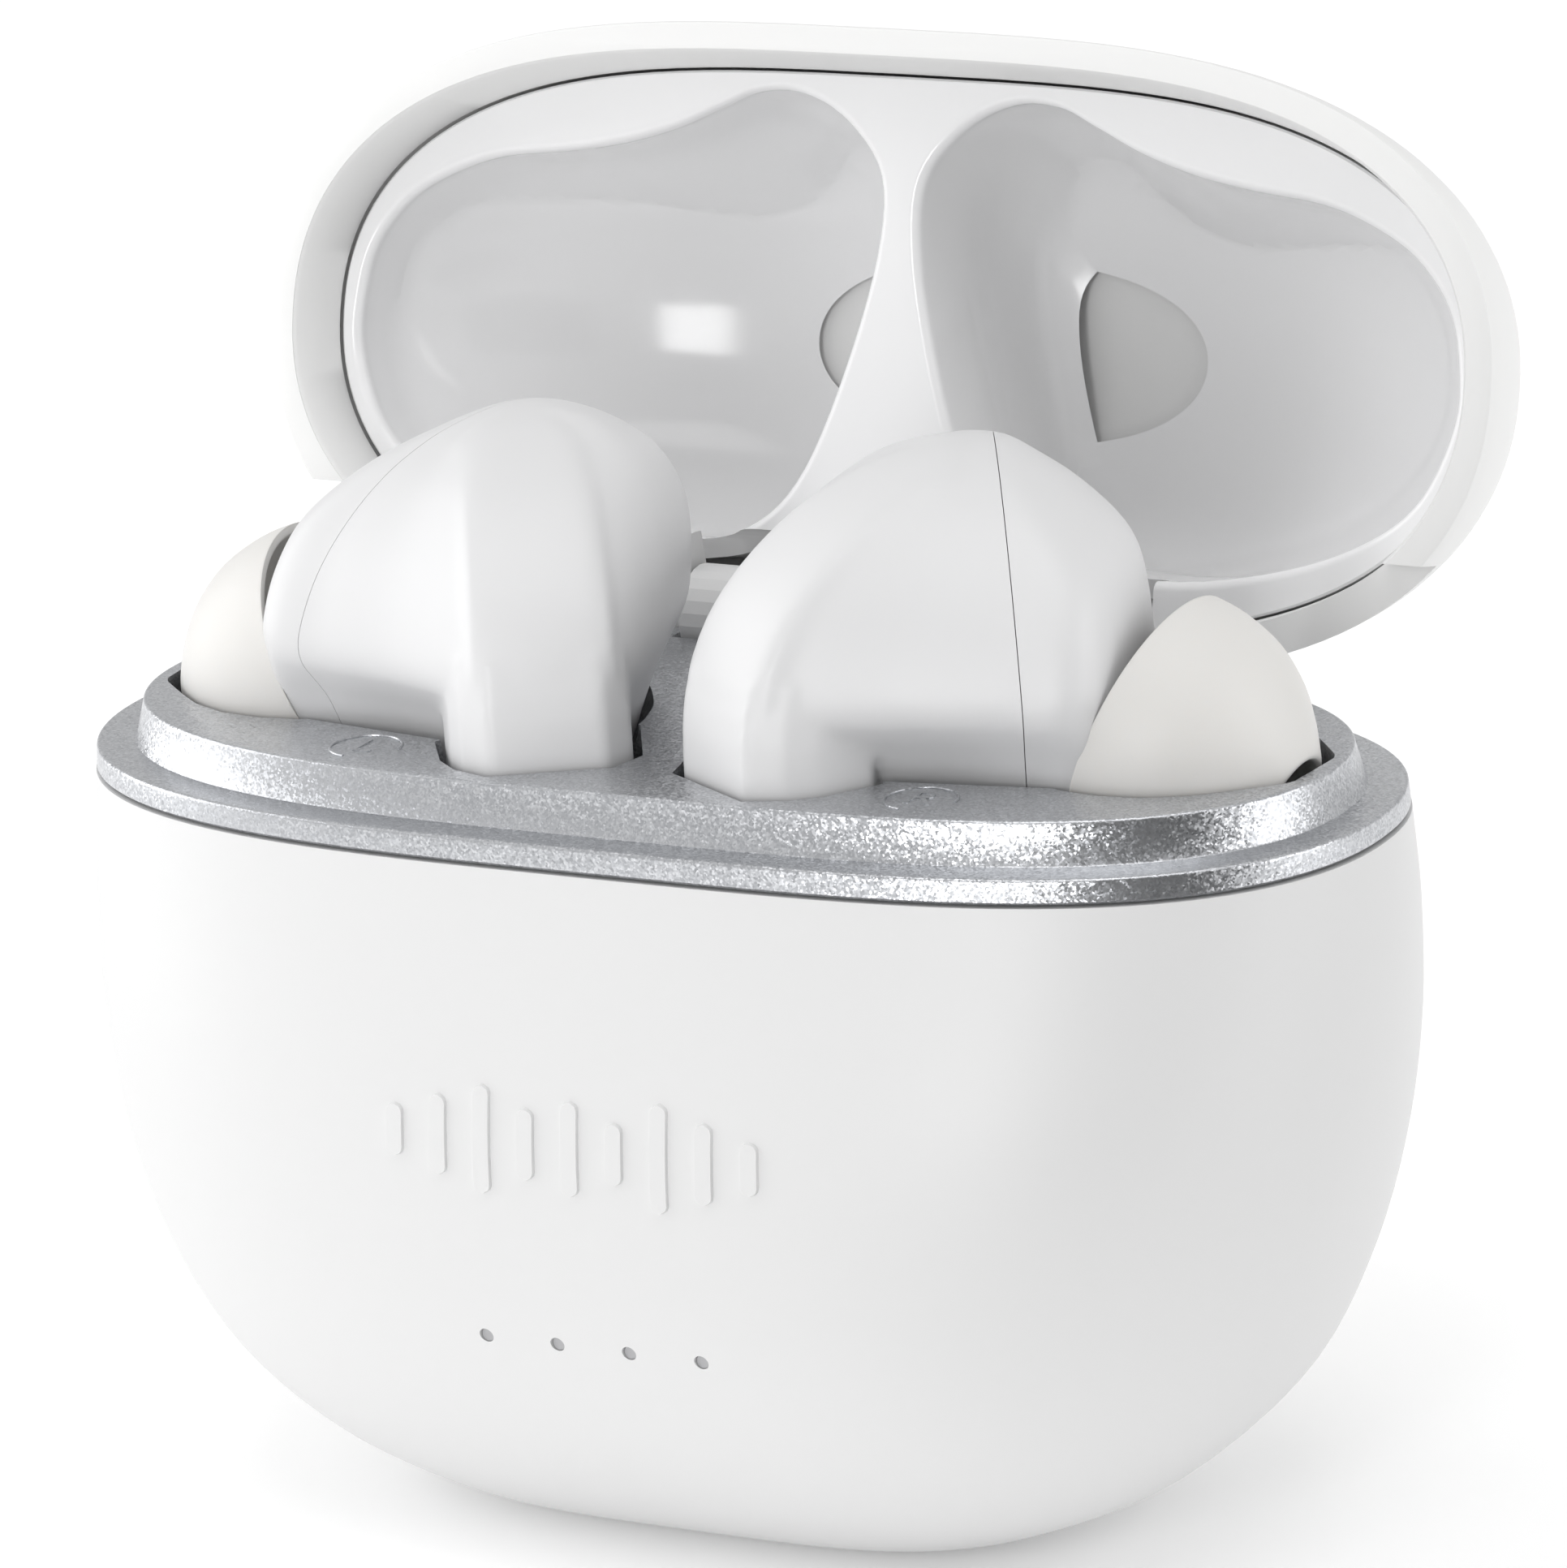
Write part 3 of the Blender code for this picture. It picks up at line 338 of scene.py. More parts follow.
light_low, light_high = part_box("status_light_1")
light_z = (light_low.z + light_high.z) / 2 / MM - WINDOW_DROP
light_xs = [sum(v.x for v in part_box(f"status_light_{i}")) / 2 / MM for i in (1, 2, 3, 4)]


def front_face(x, z):
    """How far forward the front of the body stands at a point."""
    for low, high in zip(through(PEBBLE, 5), through(PEBBLE, 5)[1:]):
        if low.x <= z <= high.x:
            share = (z - low.x) / max(high.x - low.x, 1e-6)
            half_width = low.y + (high.y - low.y) * share
            half_depth = low.z + (high.z - low.z) * share
            x_power, y_power = (a + (b - a) * z / SEAM_Z for a, b in zip(BASE_POWERS, TOP_POWERS))
            return -half_depth * (1 - abs(x / half_width) ** x_power) ** (1 / y_power)
    return 0.0


for x in light_xs:
    face = front_face(x, light_z)
    carve(body, rod((x, face + 1.2, light_z), (x, face - 1, light_z), WINDOW_RADIUS))
usb_low, usb_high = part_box("usb_c_receptacle")
usb_z = (usb_low.z + usb_high.z) / 2 / MM
slot = block(USB_SLOT, (0, 0, 0))
long_edges = [e for e in slot.edges if abs((e.verts[0].co - e.verts[1].co).y) > MM]
bmesh.ops.bevel(slot, geom=long_edges, offset=USB_SLOT_ROUND * MM, segments=8, profile=0.5,
                affect="EDGES", material=-1)
bmesh.ops.translate(slot, vec=(0, USB_SLOT_Y * MM, usb_z * MM), verts=slot.verts)
carve(body, slot)
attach(body, "case")
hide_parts("lower_shell")


# Four frosted rods carry the charge lights out to the windows, where they stop just short of
# the surface.
LENS = add_material("frosted_lens", (0.42, 0.42, 0.43), 0.35)
LENS_RADIUS = 0.31
LENS_SINK = 0.18
LENS_BACK = 1.15
for number, x in enumerate(light_xs, 1):
    face = front_face(x, light_z)
    lens = rod((x, face + LENS_BACK, light_z), (x, face + LENS_SINK, light_z), LENS_RADIUS)
    tip = add_piece(f"light_window_{number}", lens, LENS)
    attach(tip, "case")


# A row of raised bars of different heights is moulded into the front as an emblem.
BAR_HEIGHTS = (2.2, 3.4, 4.6, 3.0, 4.0, 2.6, 4.6, 3.4, 2.2)
BAR_PITCH = 2.1
BAR_WIDTH = 0.75
EMBLEM_Z = 21.0
EMBLEM_RISE = 0.16
EMBLEM_ROOT = 0.25
EMBLEM_FLARE = 1.25
EMBLEM_SPREAD = 0.18
EMBLEM_SOFTENING = 0.07
for number, bar_height in enumerate(BAR_HEIGHTS):
    bar_x = (number - (len(BAR_HEIGHTS) - 1) / 2) * BAR_PITCH
    bar = bmesh.new()
    bmesh.ops.create_grid(bar, x_segments=6, y_segments=28, size=0.5)
    for vert in bar.verts:
        across, up = vert.co.x * BAR_WIDTH, vert.co.y * bar_height
        straight = bar_height / 2 - BAR_WIDTH / 2
        if abs(up) > straight:
            past = abs(up) - straight
            across *= math.sqrt(max(1 - (past / (BAR_WIDTH / 2)) ** 2, 0.02))
        vert.co = Vector((bar_x + across, 0, EMBLEM_Z + up))
    for vert in bar.verts:
        vert.co.y = front_face(vert.co.x, vert.co.z) - EMBLEM_RISE
    rim = [e for e in bar.edges if e.is_boundary]
    grown = bmesh.ops.extrude_edge_only(bar, edges=rim)["geom"]
    for vert in {item for item in grown if isinstance(item, bmesh.types.BMVert)}:
        vert.co.y += EMBLEM_RISE + EMBLEM_ROOT
        vert.co.x = bar_x + (vert.co.x - bar_x) * EMBLEM_FLARE
        vert.co.z = EMBLEM_Z + (vert.co.z - EMBLEM_Z) * (1 + EMBLEM_SPREAD / bar_height)
    bmesh.ops.contextual_create(bar, geom=[e for e in bar.edges if e.is_boundary])
    bmesh.ops.scale(bar, vec=(MM, MM, MM), verts=bar.verts)
    bmesh.ops.recalc_face_normals(bar, faces=bar.faces)
    piece = add_piece(f"emblem_bar_{number + 1}", bar, WHITE, 60)
    soften = piece.modifiers.new("soften", "BEVEL")
    soften.width = EMBLEM_SOFTENING * MM
    soften.segments = 3
    soften.angle_limit = math.radians(50)
    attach(piece, "case")


# The deck is a moulding in sparkling silver paint: a lower band that meets the body, a ledge
# the lid lands on, an upper band, and a flat top with a well for each earbud.
FLAKES_PER_METRE = 11000
FLAKE_TILT = 0.12
DARK_FLAKE = (0.42, 0.43, 0.45, 1)
BRIGHT_FLAKE = (0.64, 0.65, 0.67, 1)


def silver_paint(name):
    """Metal paint with small flakes that each lean their own way and have their own tone."""
    made = add_material(name, (0.52, 0.53, 0.55), 0.30, 0.9)
    nodes, links = made.node_tree.nodes, made.node_tree.links
    shader = nodes["Principled BSDF"]
    place = nodes.new("ShaderNodeTexCoord")
    flake = nodes.new("ShaderNodeTexVoronoi")
    flake.inputs["Scale"].default_value = FLAKES_PER_METRE
    links.new(place.outputs["Object"], flake.inputs["Vector"])
    spread = nodes.new("ShaderNodeVectorMath")
    spread.operation = "MULTIPLY_ADD"
    spread.inputs[1].default_value = (2 * FLAKE_TILT,) * 3
    spread.inputs[2].default_value = (-FLAKE_TILT,) * 3
    links.new(flake.outputs["Color"], spread.inputs[0])
    facing = nodes.new("ShaderNodeNewGeometry")
    tilt = nodes.new("ShaderNodeVectorMath")
    tilt.operation = "ADD"
    links.new(facing.outputs["Normal"], tilt.inputs[0])
    links.new(spread.outputs["Vector"], tilt.inputs[1])
    straight = nodes.new("ShaderNodeVectorMath")
    straight.operation = "NORMALIZE"
    links.new(tilt.outputs["Vector"], straight.inputs[0])
    links.new(straight.outputs["Vector"], shader.inputs["Normal"])
    tone = nodes.new("ShaderNodeMix")
    tone.data_type = "RGBA"
    tone.inputs["A"].default_value = DARK_FLAKE
    tone.inputs["B"].default_value = BRIGHT_FLAKE
    split = nodes.new("ShaderNodeSeparateColor")
    links.new(flake.outputs["Color"], split.inputs["Color"])
    links.new(split.outputs["Red"], tone.inputs["Factor"])
    links.new(tone.outputs["Result"], shader.inputs["Base Color"])
    return made


SILVER = silver_paint("silver_flake")
RING_HALF_WIDTH = 30.0
RING_HALF_DEPTH = 14.0
SKIRT_Z = 29.5
SEAM_SLIT = 0.12
LEDGE_Z = 33.2
DECK_Z = 35.0
LEDGE_HALF_WIDTH = 28.3
LEDGE_HALF_DEPTH = 12.3
EDGE_ROUND = 0.16


def rounded_corner(half_width, half_depth, z, radius, turns=5):
    """Levels round an outer edge, from the upright side over to the flat top."""
    levels = []
    for i in range(turns + 1):
        angle = math.pi / 2 * i / turns
        inset = radius * (1 - math.cos(angle))
        height = z - radius + radius * math.sin(angle)
        levels.append(outline(half_width - inset, half_depth - inset, height))
    return levels


deck_levels = [outline(26.0, 10.6, SKIRT_Z), outline(28.1, 12.2, SKIRT_Z),
               outline(28.1, 12.2, SEAM_Z + SEAM_SLIT), outline(29.9, 13.95, SEAM_Z + SEAM_SLIT),
               outline(30.05, 14.08, SEAM_Z + 0.25)]
deck_levels += rounded_corner(RING_HALF_WIDTH, RING_HALF_DEPTH, LEDGE_Z, EDGE_ROUND)
deck_levels += [outline(LEDGE_HALF_WIDTH + 0.06, LEDGE_HALF_DEPTH + 0.06, LEDGE_Z),
                outline(LEDGE_HALF_WIDTH, LEDGE_HALF_DEPTH, LEDGE_Z + 0.06)]
deck_levels += rounded_corner(LEDGE_HALF_WIDTH - 0.4, LEDGE_HALF_DEPTH - 0.4, DECK_Z, EDGE_ROUND)
deck = add_piece("silver_deck", skin(deck_levels), SILVER)


# Each earbud is laid out in its own plan axes: "across" runs along the flat face of its stem,
# "back" runs into the head, and heights count from the deck. The right one is drawn, and the
# left one is its mirror image.
FACE_X = 3.9
FACE_Y = -9.5
ACROSS = Vector((0.86, -0.51, 0.0)).normalized()
BACK = Vector((0.51, 0.86, 0.0)).normalized()
STEM_BOTTOM = -15.5
TIP_CENTRE = Vector((19.5, 0.2, 36.1))
TIP_AXIS = Vector((0.92, -0.07, -0.38)).normalized()
NECK_RADIUS = 4.6
NECK_LENGTH = 4.5
# The head's levels: height, place and half width of the flat face, left, right and rear.
HEAD = (
    (-3.7, 6.2, 1.2, -1.6, 7.0, 13.6),
    (-2.4, 5.6, 1.6, -2.9, 9.0, 15.6),
    (-1.0, 5.0, 2.2, -3.6, 10.3, 16.8),
    (0.0, 4.5, 2.4, -4.1, 10.9, 17.4),
    (1.2, 3.4, 2.4, -4.9, 11.3, 18.1),
    (2.2, 1.9, 2.4, -5.5, 11.5, 18.6),
    (3.0, 0.8, 2.4, -6.0, 11.6, 18.9),
    (4.2, 0.65, 2.35, -6.7, 11.7, 19.2),
    (6.4, 1.7, 2.3, -7.0, 11.0, 19.4),
    (8.4, 3.5, 2.2, -6.8, 9.6, 19.3),
    (10.2, 6.0, 2.0, -5.8, 7.0, 18.0),
    (11.4, 8.6, 1.6, -4.2, 4.2, 16.6),
    (12.1, 10.9, 1.1, -2.4, 1.9, 15.6),
    (12.35, 12.6, 0.4, -0.9, 0.6, 14.6),
)
HEAD_MIDDLE = 4.5
HEAD_HALF_HEIGHT = 8.2
SLOPE_WIDTH = 1.15
SLOPE_DEPTH = 1.3
STEM_PLAN = (
    (-2.45, 0.0), (2.45, 0.0), (3.6, 1.3), (4.1, 2.6), (4.3, 5.2), (2.2, 6.6), (-2.2, 6.6),
    (-3.7, 5.4), (-3.6, 1.3))
STEM_MIDDLE = 3.3
# The stem's levels: height, lean towards the back, and scale.
STEM_LEVELS = (
    (STEM_BOTTOM, 0.25, 0.90), (STEM_BOTTOM + 0.6, 0.0, 1.0), (0.6, 0.0, 1.0), (2.0, 0.06, 1.0),
    (3.2, 0.25, 1.0), (4.6, 0.6, 0.98))


def bud_point(across, back, height):
    """A place in the case from a place in the bud's own plan."""
    plan = Vector((FACE_X, FACE_Y, 0)) + ACROSS * across + BACK * back
    return Vector((plan.x, plan.y, DECK_Z + height))


def head_plan(face, half_face, left, right, rear):
    """Control points of one level of the head, anticlockwise from the left end of its face."""
    widest_right = face + 0.55 * (rear - face)
    widest = face + 0.62 * (rear - face)
    middle = (left + right) / 2
    slope_width = min(SLOPE_WIDTH, 0.3 * (right - left) / 2)
    slope = face + min(SLOPE_DEPTH, 0.15 * (rear - face))
    points = [(-half_face, face), (half_face, face), (half_face + slope_width, slope)]
    for part, bulge in ((0.36, -0.15), (0.7, 0.0)):
        points.append((half_face + slope_width + (right - half_face - slope_width) * part + bulge,
                       slope + (widest_right - slope) * part - bulge))
    for turn in (0, 36, 72):
        angle = math.radians(turn)
        points.append((middle + (right - middle) * math.cos(angle) ** 1.3,
                       widest_right + (rear - widest_right) * math.sin(angle)))
    for turn in (72, 36, 0):
        angle = math.radians(turn)
        points.append((middle - (right - middle) * math.cos(angle),
                       widest + (rear - widest) * math.sin(angle)))
    for part, bulge in ((0.6, 0.5), (0.3, 0.4)):
        points.append((-half_face - slope_width + (left + half_face + slope_width) * part - bulge,
                       slope + (widest - slope) * part - bulge))
    points.append((-half_face - slope_width, slope))
    return points


def head_rings(grow, levels):
    """The head's outline at each level, grown outwards by this much."""
    rings = []
    for height, face, half_face, left, right, rear in levels:
        across_middle, back_middle = (left + right) / 2, (face + rear) / 2
        ring = []
        keys = [(x, y, 0) for x, y in head_plan(face, half_face, left, right, rear)]
        for spot in round_through(keys, 5):
            away = Vector((spot.x - across_middle, spot.y - back_middle, 0))
            away = away.normalized() * max(away.length + grow, 0.2)
            lift = grow * (height - HEAD_MIDDLE) / HEAD_HALF_HEIGHT
            ring.append(bud_point(
                across_middle + away.x, back_middle + away.y, height + lift))
        rings.append(ring)
    return rings


def head_levels(first, last, steps):
    """The head's table between two of its rows, filled in smoothly."""
    rows = HEAD[first:last]
    low = through([row[:3] for row in rows], steps)
    high = through([row[3:] for row in rows], steps)
    return [(*a, *b) for a, b in zip(low, high)]


def stem_rings(grow):
    """The stem's outline at each level, grown outwards by this much."""
    rings = []
    for height, lean, scale in STEM_LEVELS:
        if height < 0:
            height -= grow
        ring = []
        for across, back in STEM_PLAN:
            outward = Vector((across, back - STEM_MIDDLE, 0)).normalized() * grow
            ring.append(bud_point(
                across * scale + outward.x,
                (back - STEM_MIDDLE) * scale + STEM_MIDDLE + outward.y + lean, height))
        rings.append(ring)
    return rings


def tip_envelope(grow):
    """The outside of a tip and of the neck behind it, grown, as loose points."""
    turn = TIP_AXIS.to_track_quat("Z", "Y").to_matrix()
    points = []
    stations = ((-NECK_LENGTH, NECK_RADIUS), (-0.4, 6.0), (1.3, 6.0), (3.1, 5.6), (4.7, 4.7),
                (5.9, 3.6), (6.7, 2.7), (7.1 + grow, 2.1))
    for along, radius in stations:
        for i in range(64):
            angle = 2 * math.pi * i / 64
            spot = Vector((math.cos(angle), math.sin(angle), 0)) * (radius + grow)
            points.append(TIP_CENTRE + turn @ (spot + Vector((0, 0, along))))
    return points


def hull(points, top):
    """The smallest convex solid round the points and their copies at the height of the top."""
    shape = bmesh.new()
    for point in points:
        if point.z < top:
            bmesh.ops.create_vert(shape, co=point * MM)
            bmesh.ops.create_vert(shape, co=Vector((point.x, point.y, top)) * MM)
    found = bmesh.ops.convex_hull(shape, input=shape.verts)
    spare = {v for v in found["geom_interior"] if isinstance(v, bmesh.types.BMVert)}
    bmesh.ops.delete(shape, geom=list(spare), context="VERTS")
    bmesh.ops.recalc_face_normals(shape, faces=shape.faces)
    return shape


def flipped(shape, is_left):
    """The shape itself, or its mirror image for the left side."""
    if is_left:
        bmesh.ops.scale(shape, vec=(-1, 1, 1), verts=shape.verts)
        bmesh.ops.recalc_face_normals(shape, faces=shape.faces)
    return shape


WELL_GAP = 0.45
CUP_GAP = 1.05
CUP_TOP = 34.2
ABOVE_DECK = 36.0
PIN_HOLE_RADIUS = 0.62
PIN_HOLE_FOOT = 16
PIN_HOLE_TOP = 20.5
HINGE_ROOM_HALF_WIDTH = 8.3
HINGE_ROOM_RADIUS = 2.5
EARS_ROOM = (40.4, 4.8, 3.65)
EARS_ROOM_MIDDLE = (0, 13.6, 35.175)
low_levels = [row for row in head_levels(0, 5, 3) if row[0] <= 0.3]
for is_left in (False, True):
    side = "left" if is_left else "right"
    for operation, gap, top in (("UNION", CUP_GAP, CUP_TOP), ("DIFFERENCE", WELL_GAP, ABOVE_DECK)):
        head_foot = [p for ring in head_rings(gap, low_levels) for p in ring]
        stem_foot = [p for ring in stem_rings(gap)[:2] for p in ring]
        for points in (head_foot, stem_foot, tip_envelope(gap)):
            carve(deck, flipped(hull(points, top), is_left), operation)
    for pin_name in [n for n in frame["nodes"] if n.startswith("contact_pin_" + side)]:
        low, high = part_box(pin_name)
        middle = (low + high) / 2 / MM
        carve(deck, rod((middle.x, middle.y, PIN_HOLE_FOOT), (middle.x, middle.y, PIN_HOLE_TOP),
                        PIN_HOLE_RADIUS))
hinge = next(j for j in frame["joints"] if j["name"] == "lid_hinge")
hinge_y, hinge_z = (v / MM for v in hinge["pos_m"][1:])
carve(deck, rod((-HINGE_ROOM_HALF_WIDTH, hinge_y, hinge_z),
                (HINGE_ROOM_HALF_WIDTH, hinge_y, hinge_z), HINGE_ROOM_RADIUS))
carve(deck, block(EARS_ROOM, EARS_ROOM_MIDDLE))
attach(deck, "case")
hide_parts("deck")


# A letter in an open ring marks each well, standing a hair above the paint.
LETTER_HEIGHT = 1.7
LETTER_X = 13.2
LETTER_Y = -8.75
LETTER_RISE = 0.02
LETTER_THICKNESS = 0.03
RING_RADIUS = 1.55
RING_WIRE = 0.06
RING_SWEEP = math.radians(260)
for letter, letter_x in (("L", -LETTER_X), ("R", LETTER_X)):
    words = bpy.data.curves.new(f"letter_{letter}", "FONT")
    words.body = letter
    words.size = LETTER_HEIGHT * 1.35 * MM
    words.extrude = LETTER_THICKNESS * MM
    words.align_x = "CENTER"
    words.align_y = "CENTER"
    drawn = bpy.data.objects.new("drawn_letter", words)
    bpy.context.scene.collection.objects.link(drawn)
    bpy.context.view_layer.update()
    graph = bpy.context.evaluated_depsgraph_get()
    flat = bpy.data.meshes.new_from_object(drawn.evaluated_get(graph))
    bpy.data.objects.remove(drawn, do_unlink=True)
    mark = bmesh.new()
    mark.from_mesh(flat)
    bmesh.ops.remove_doubles(mark, verts=mark.verts, dist=1e-7)
    spoke = bmesh.ops.create_circle(
        mark, cap_ends=True, segments=8, radius=RING_WIRE * MM)["verts"]
    upright = Matrix.Rotation(math.pi / 2, 3, "X")
    bmesh.ops.rotate(mark, cent=(0, 0, 0), matrix=upright, verts=spoke)
    bmesh.ops.translate(mark, vec=(RING_RADIUS * MM, 0, 0), verts=spoke)
    disc = list({face for vert in spoke for face in vert.link_faces})
    bmesh.ops.spin(
        mark, geom=disc, cent=(0, 0, 0), axis=(0, 0, 1), angle=RING_SWEEP, steps=40)
    bmesh.ops.translate(
        mark, vec=(letter_x * MM, LETTER_Y * MM, (DECK_Z + LETTER_RISE) * MM), verts=mark.verts)
    bmesh.ops.recalc_face_normals(mark, faces=mark.faces)
    piece = add_piece(f"well_letter_{letter}", mark, SILVER)
    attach(piece, "case")


# The lid is a dome of the same white plastic. Its rim is a flat textured strip, and behind the
# strip the wall steps in to the liner. At rest it stands open, so it is drawn closed and turned.
LID_HALF_WIDTH = 29.8
LID_HALF_DEPTH = 13.9
LID_RIM_Z = 33.35
LID_TOP_Z = 51.0
LINER_Z = 36.4
CROWN_POWERS = (2.4, 2.1)
DOME_WIDTH_POWER = 2.25
DOME_DEPTH_POWER = 2.2
OPEN_ANGLE = math.radians(105)
NOTCH_RADIUS = 3.95
NOTCH_HALF_WIDTH = 13.4
SKIRT_ROOM = (80, 12.4, 5.5)
SKIRT_ROOM_MIDDLE = (0, 13.8, 32.75)
BARREL_RADIUS = 3.6
BARREL_INNER_X = 8.3
BARREL_OUTER_X = 13.0
FRONT_ROOM = (60, 11.4, 20)
FRONT_ROOM_MIDDLE = (0, 5.7, 36)
open_lid = (Matrix.Translation((0, hinge_y * MM, hinge_z * MM))
            @ Matrix.Rotation(-OPEN_ANGLE, 4, "X")
            @ Matrix.Translation((0, -hinge_y * MM, -hinge_z * MM)))


def opened(piece):
    """Turns a piece that was drawn closed to where it stands with the lid open."""
    piece.data.transform(open_lid)
    return piece


def lid_level(z, inset=0.0):
    """The dome's outline at one height, or that of a smaller dome inside it."""
    rise = min(max((z - LID_RIM_Z) / (LID_TOP_Z - inset - LID_RIM_Z), 0.0), 1.0)
    wide = (1 - rise ** DOME_WIDTH_POWER) ** (1 / DOME_WIDTH_POWER)
    deep = (1 - rise ** DOME_DEPTH_POWER) ** (1 / DOME_DEPTH_POWER)
    half_width = max((LID_HALF_WIDTH - inset) * wide, 0.6)
    half_depth = max((LID_HALF_DEPTH - inset) * deep, 0.35)
    powers = [low + (high - low) * rise for low, high in zip(TOP_POWERS, CROWN_POWERS)]
    return outline(half_width, half_depth, z, powers)


def dome_levels(bottom, inset, steps=26):
    """The levels of a dome from this height up to its top."""
    levels = []
    for i in range(steps + 1):
        rise = math.sin(math.pi / 2 * i / steps)
        levels.append(lid_level(bottom + (LID_TOP_Z - inset - 0.01 - bottom) * rise, inset))
    return levels


LID_WHITE = satin_plastic("lid_satin", (0.78, 0.78, 0.775), 0.5, 3800, 0.012)
lid_outer = [outline(LID_HALF_WIDTH - 0.18, LID_HALF_DEPTH - 0.18, LID_RIM_Z)]
lid_outer += [outline(LID_HALF_WIDTH - 0.05, LID_HALF_DEPTH - 0.05, LID_RIM_Z + 0.07)]
lid_outer += dome_levels(LID_RIM_Z + 0.2, 0.0)
lid = add_piece("lid_dome", skin(lid_outer), LID_WHITE)
lid_inner = [outline(LID_HALF_WIDTH - 1.15, LID_HALF_DEPTH - 1.15, LID_RIM_Z - 1),
             outline(LID_HALF_WIDTH - 1.2, LID_HALF_DEPTH - 1.2, LID_RIM_Z + 0.05),
             outline(LID_HALF_WIDTH - 1.35, LID_HALF_DEPTH - 1.35, LID_RIM_Z + 0.2),
             outline(LID_HALF_WIDTH - 1.9, LID_HALF_DEPTH - 1.9, LINER_Z)]
lid_inner += dome_levels(LINER_Z + 0.5, 1.2, 14)
carve(lid, skin(lid_inner))


def notch():
    """The round room that the lid and its liner leave for the hinge."""
    return rod((-NOTCH_HALF_WIDTH, hinge_y, hinge_z), (NOTCH_HALF_WIDTH, hinge_y, hinge_z),
               NOTCH_RADIUS, 64)


carve(lid, notch())
carve(lid, block(SKIRT_ROOM, SKIRT_ROOM_MIDDLE))
for is_left in (False, True):
    side = "left" if is_left else "right"
    bar = rod((BARREL_INNER_X, hinge_y, hinge_z), (BARREL_OUTER_X, hinge_y, hinge_z),
              BARREL_RADIUS, 64)
    barrel = add_piece(f"hinge_barrel_{side}", flipped(bar, is_left), WHITE)
    carve(barrel, skin([outline(LID_HALF_WIDTH - 0.2, LID_HALF_DEPTH - 0.2, LID_RIM_Z + 0.15)]
                       + dome_levels(LID_RIM_Z + 0.3, 0.15)), "INTERSECT")
    carve(barrel, block(FRONT_ROOM, FRONT_ROOM_MIDDLE))
    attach(barrel, "case")
    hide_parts(f"hinge_ear_{side}")
opened(lid)
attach(lid, "lid")
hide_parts("lid_shell")


# The liner is a glossy white moulding that closes the lid's inside. It has a recess shaped to
# the head of each earbud, with a softly rounded mouth.
GLOSS = satin_plastic("gloss_liner", (0.84, 0.84, 0.845), 0.12, 300, 0.002)
RECESS = (
    (1.1, -7.4), (2.8, -9.7), (5.1, -10.9), (7.3, -10.9), (9.2, -10.1), (11.4, -9.1), (14.0, -8.3),
    (16.8, -7.8), (20.0, -7.4), (22.4, -6.6), (24.6, -5.3), (26.2, -3.3), (26.8, -1.0),
    (26.8, 1.6), (25.5, 4.8), (23.2, 6.8), (19.5, 8.3), (14.5, 9.2), (9.0, 9.0),
    (6.0, 7.9), (4.0, 5.5), (2.3, 1.0), (1.1, -3.9))
# The recess's levels: height, scale, and shifts along X and Y.
RECESS_LEVELS = (
    (LINER_Z, 1.0, 0.0, 0.0), (38.0, 1.0, 0.0, 0.0), (41.0, 0.97, -0.3, 0.2),
    (44.0, 0.91, -1.2, 0.8), (46.3, 0.84, -1.8, 1.3), (48.0, 0.75, -2.2, 1.8), (48.8, 0.58, -2.4, 2.1))
RECESS_MIDDLE = Vector((13.4, -0.6, 0))
MOUTH_ROUND = 0.45
WALL = 0.9
LINER_INSET = 2.02
LINER_DOME_INSET = 1.25
POCKET_DOME_INSET = 1.7


def recess_ring(z, scale, shift_x, shift_y, grow):
    """The recess's outline at one height."""
    ring = []
    for spot in round_through([(x, y, 0) for x, y in RECESS], 5):
        away = spot - RECESS_MIDDLE
        shift = Vector((shift_x, shift_y, 0))
        place = RECESS_MIDDLE + away * scale + away.normalized() * grow + shift
        ring.append(Vector((place.x, place.y, z)))
    return ring


def recess(grow, start):
    """The recess as a solid; one that starts below the liner's face has the rounded mouth."""
    rings = []
    if start < LINER_Z:
        for i in range(7):
            angle = math.pi / 2 * i / 6
            flare = MOUTH_ROUND * (1 - math.sin(angle))
            z = LINER_Z + MOUTH_ROUND * (1 - math.cos(angle))
            rings.append(recess_ring(z, 1.0, 0, 0, grow + flare))
        rings.insert(0, recess_ring(start, 1.0, 0, 0, grow + MOUTH_ROUND))
    else:
        rings.append(recess_ring(start, 1.0, 0, 0, grow))
    levels = through([row[:3] for row in RECESS_LEVELS], 4)
    shifts = through([(row[0], row[3], 0) for row in RECESS_LEVELS], 4)
    for level, shift in zip(levels, shifts):
        if level.x > rings[-1][0].z + 0.2:
            rings.append(recess_ring(level.x, level.y, level.z, shift.y, grow))
    return skin(rings)


liner_edges = ((LINER_INSET + 0.1, 0), (LINER_INSET, 0.1), (LINER_INSET, 1.2))
liner_levels = [outline(LID_HALF_WIDTH - inset, LID_HALF_DEPTH - inset, LINER_Z + rise)
                for inset, rise in liner_edges]
liner = add_piece("glossy_liner", skin(liner_levels), GLOSS)
for is_left in (False, True):
    carve(liner, flipped(recess(WALL, LINER_Z + 0.5), is_left), "UNION")


def dome_limit(inset):
    """The room inside the dome, which a recess and its wall stay within."""
    return skin([outline(30, 14, LINER_Z - 3)] + dome_levels(LINER_Z - 2, inset, 20))


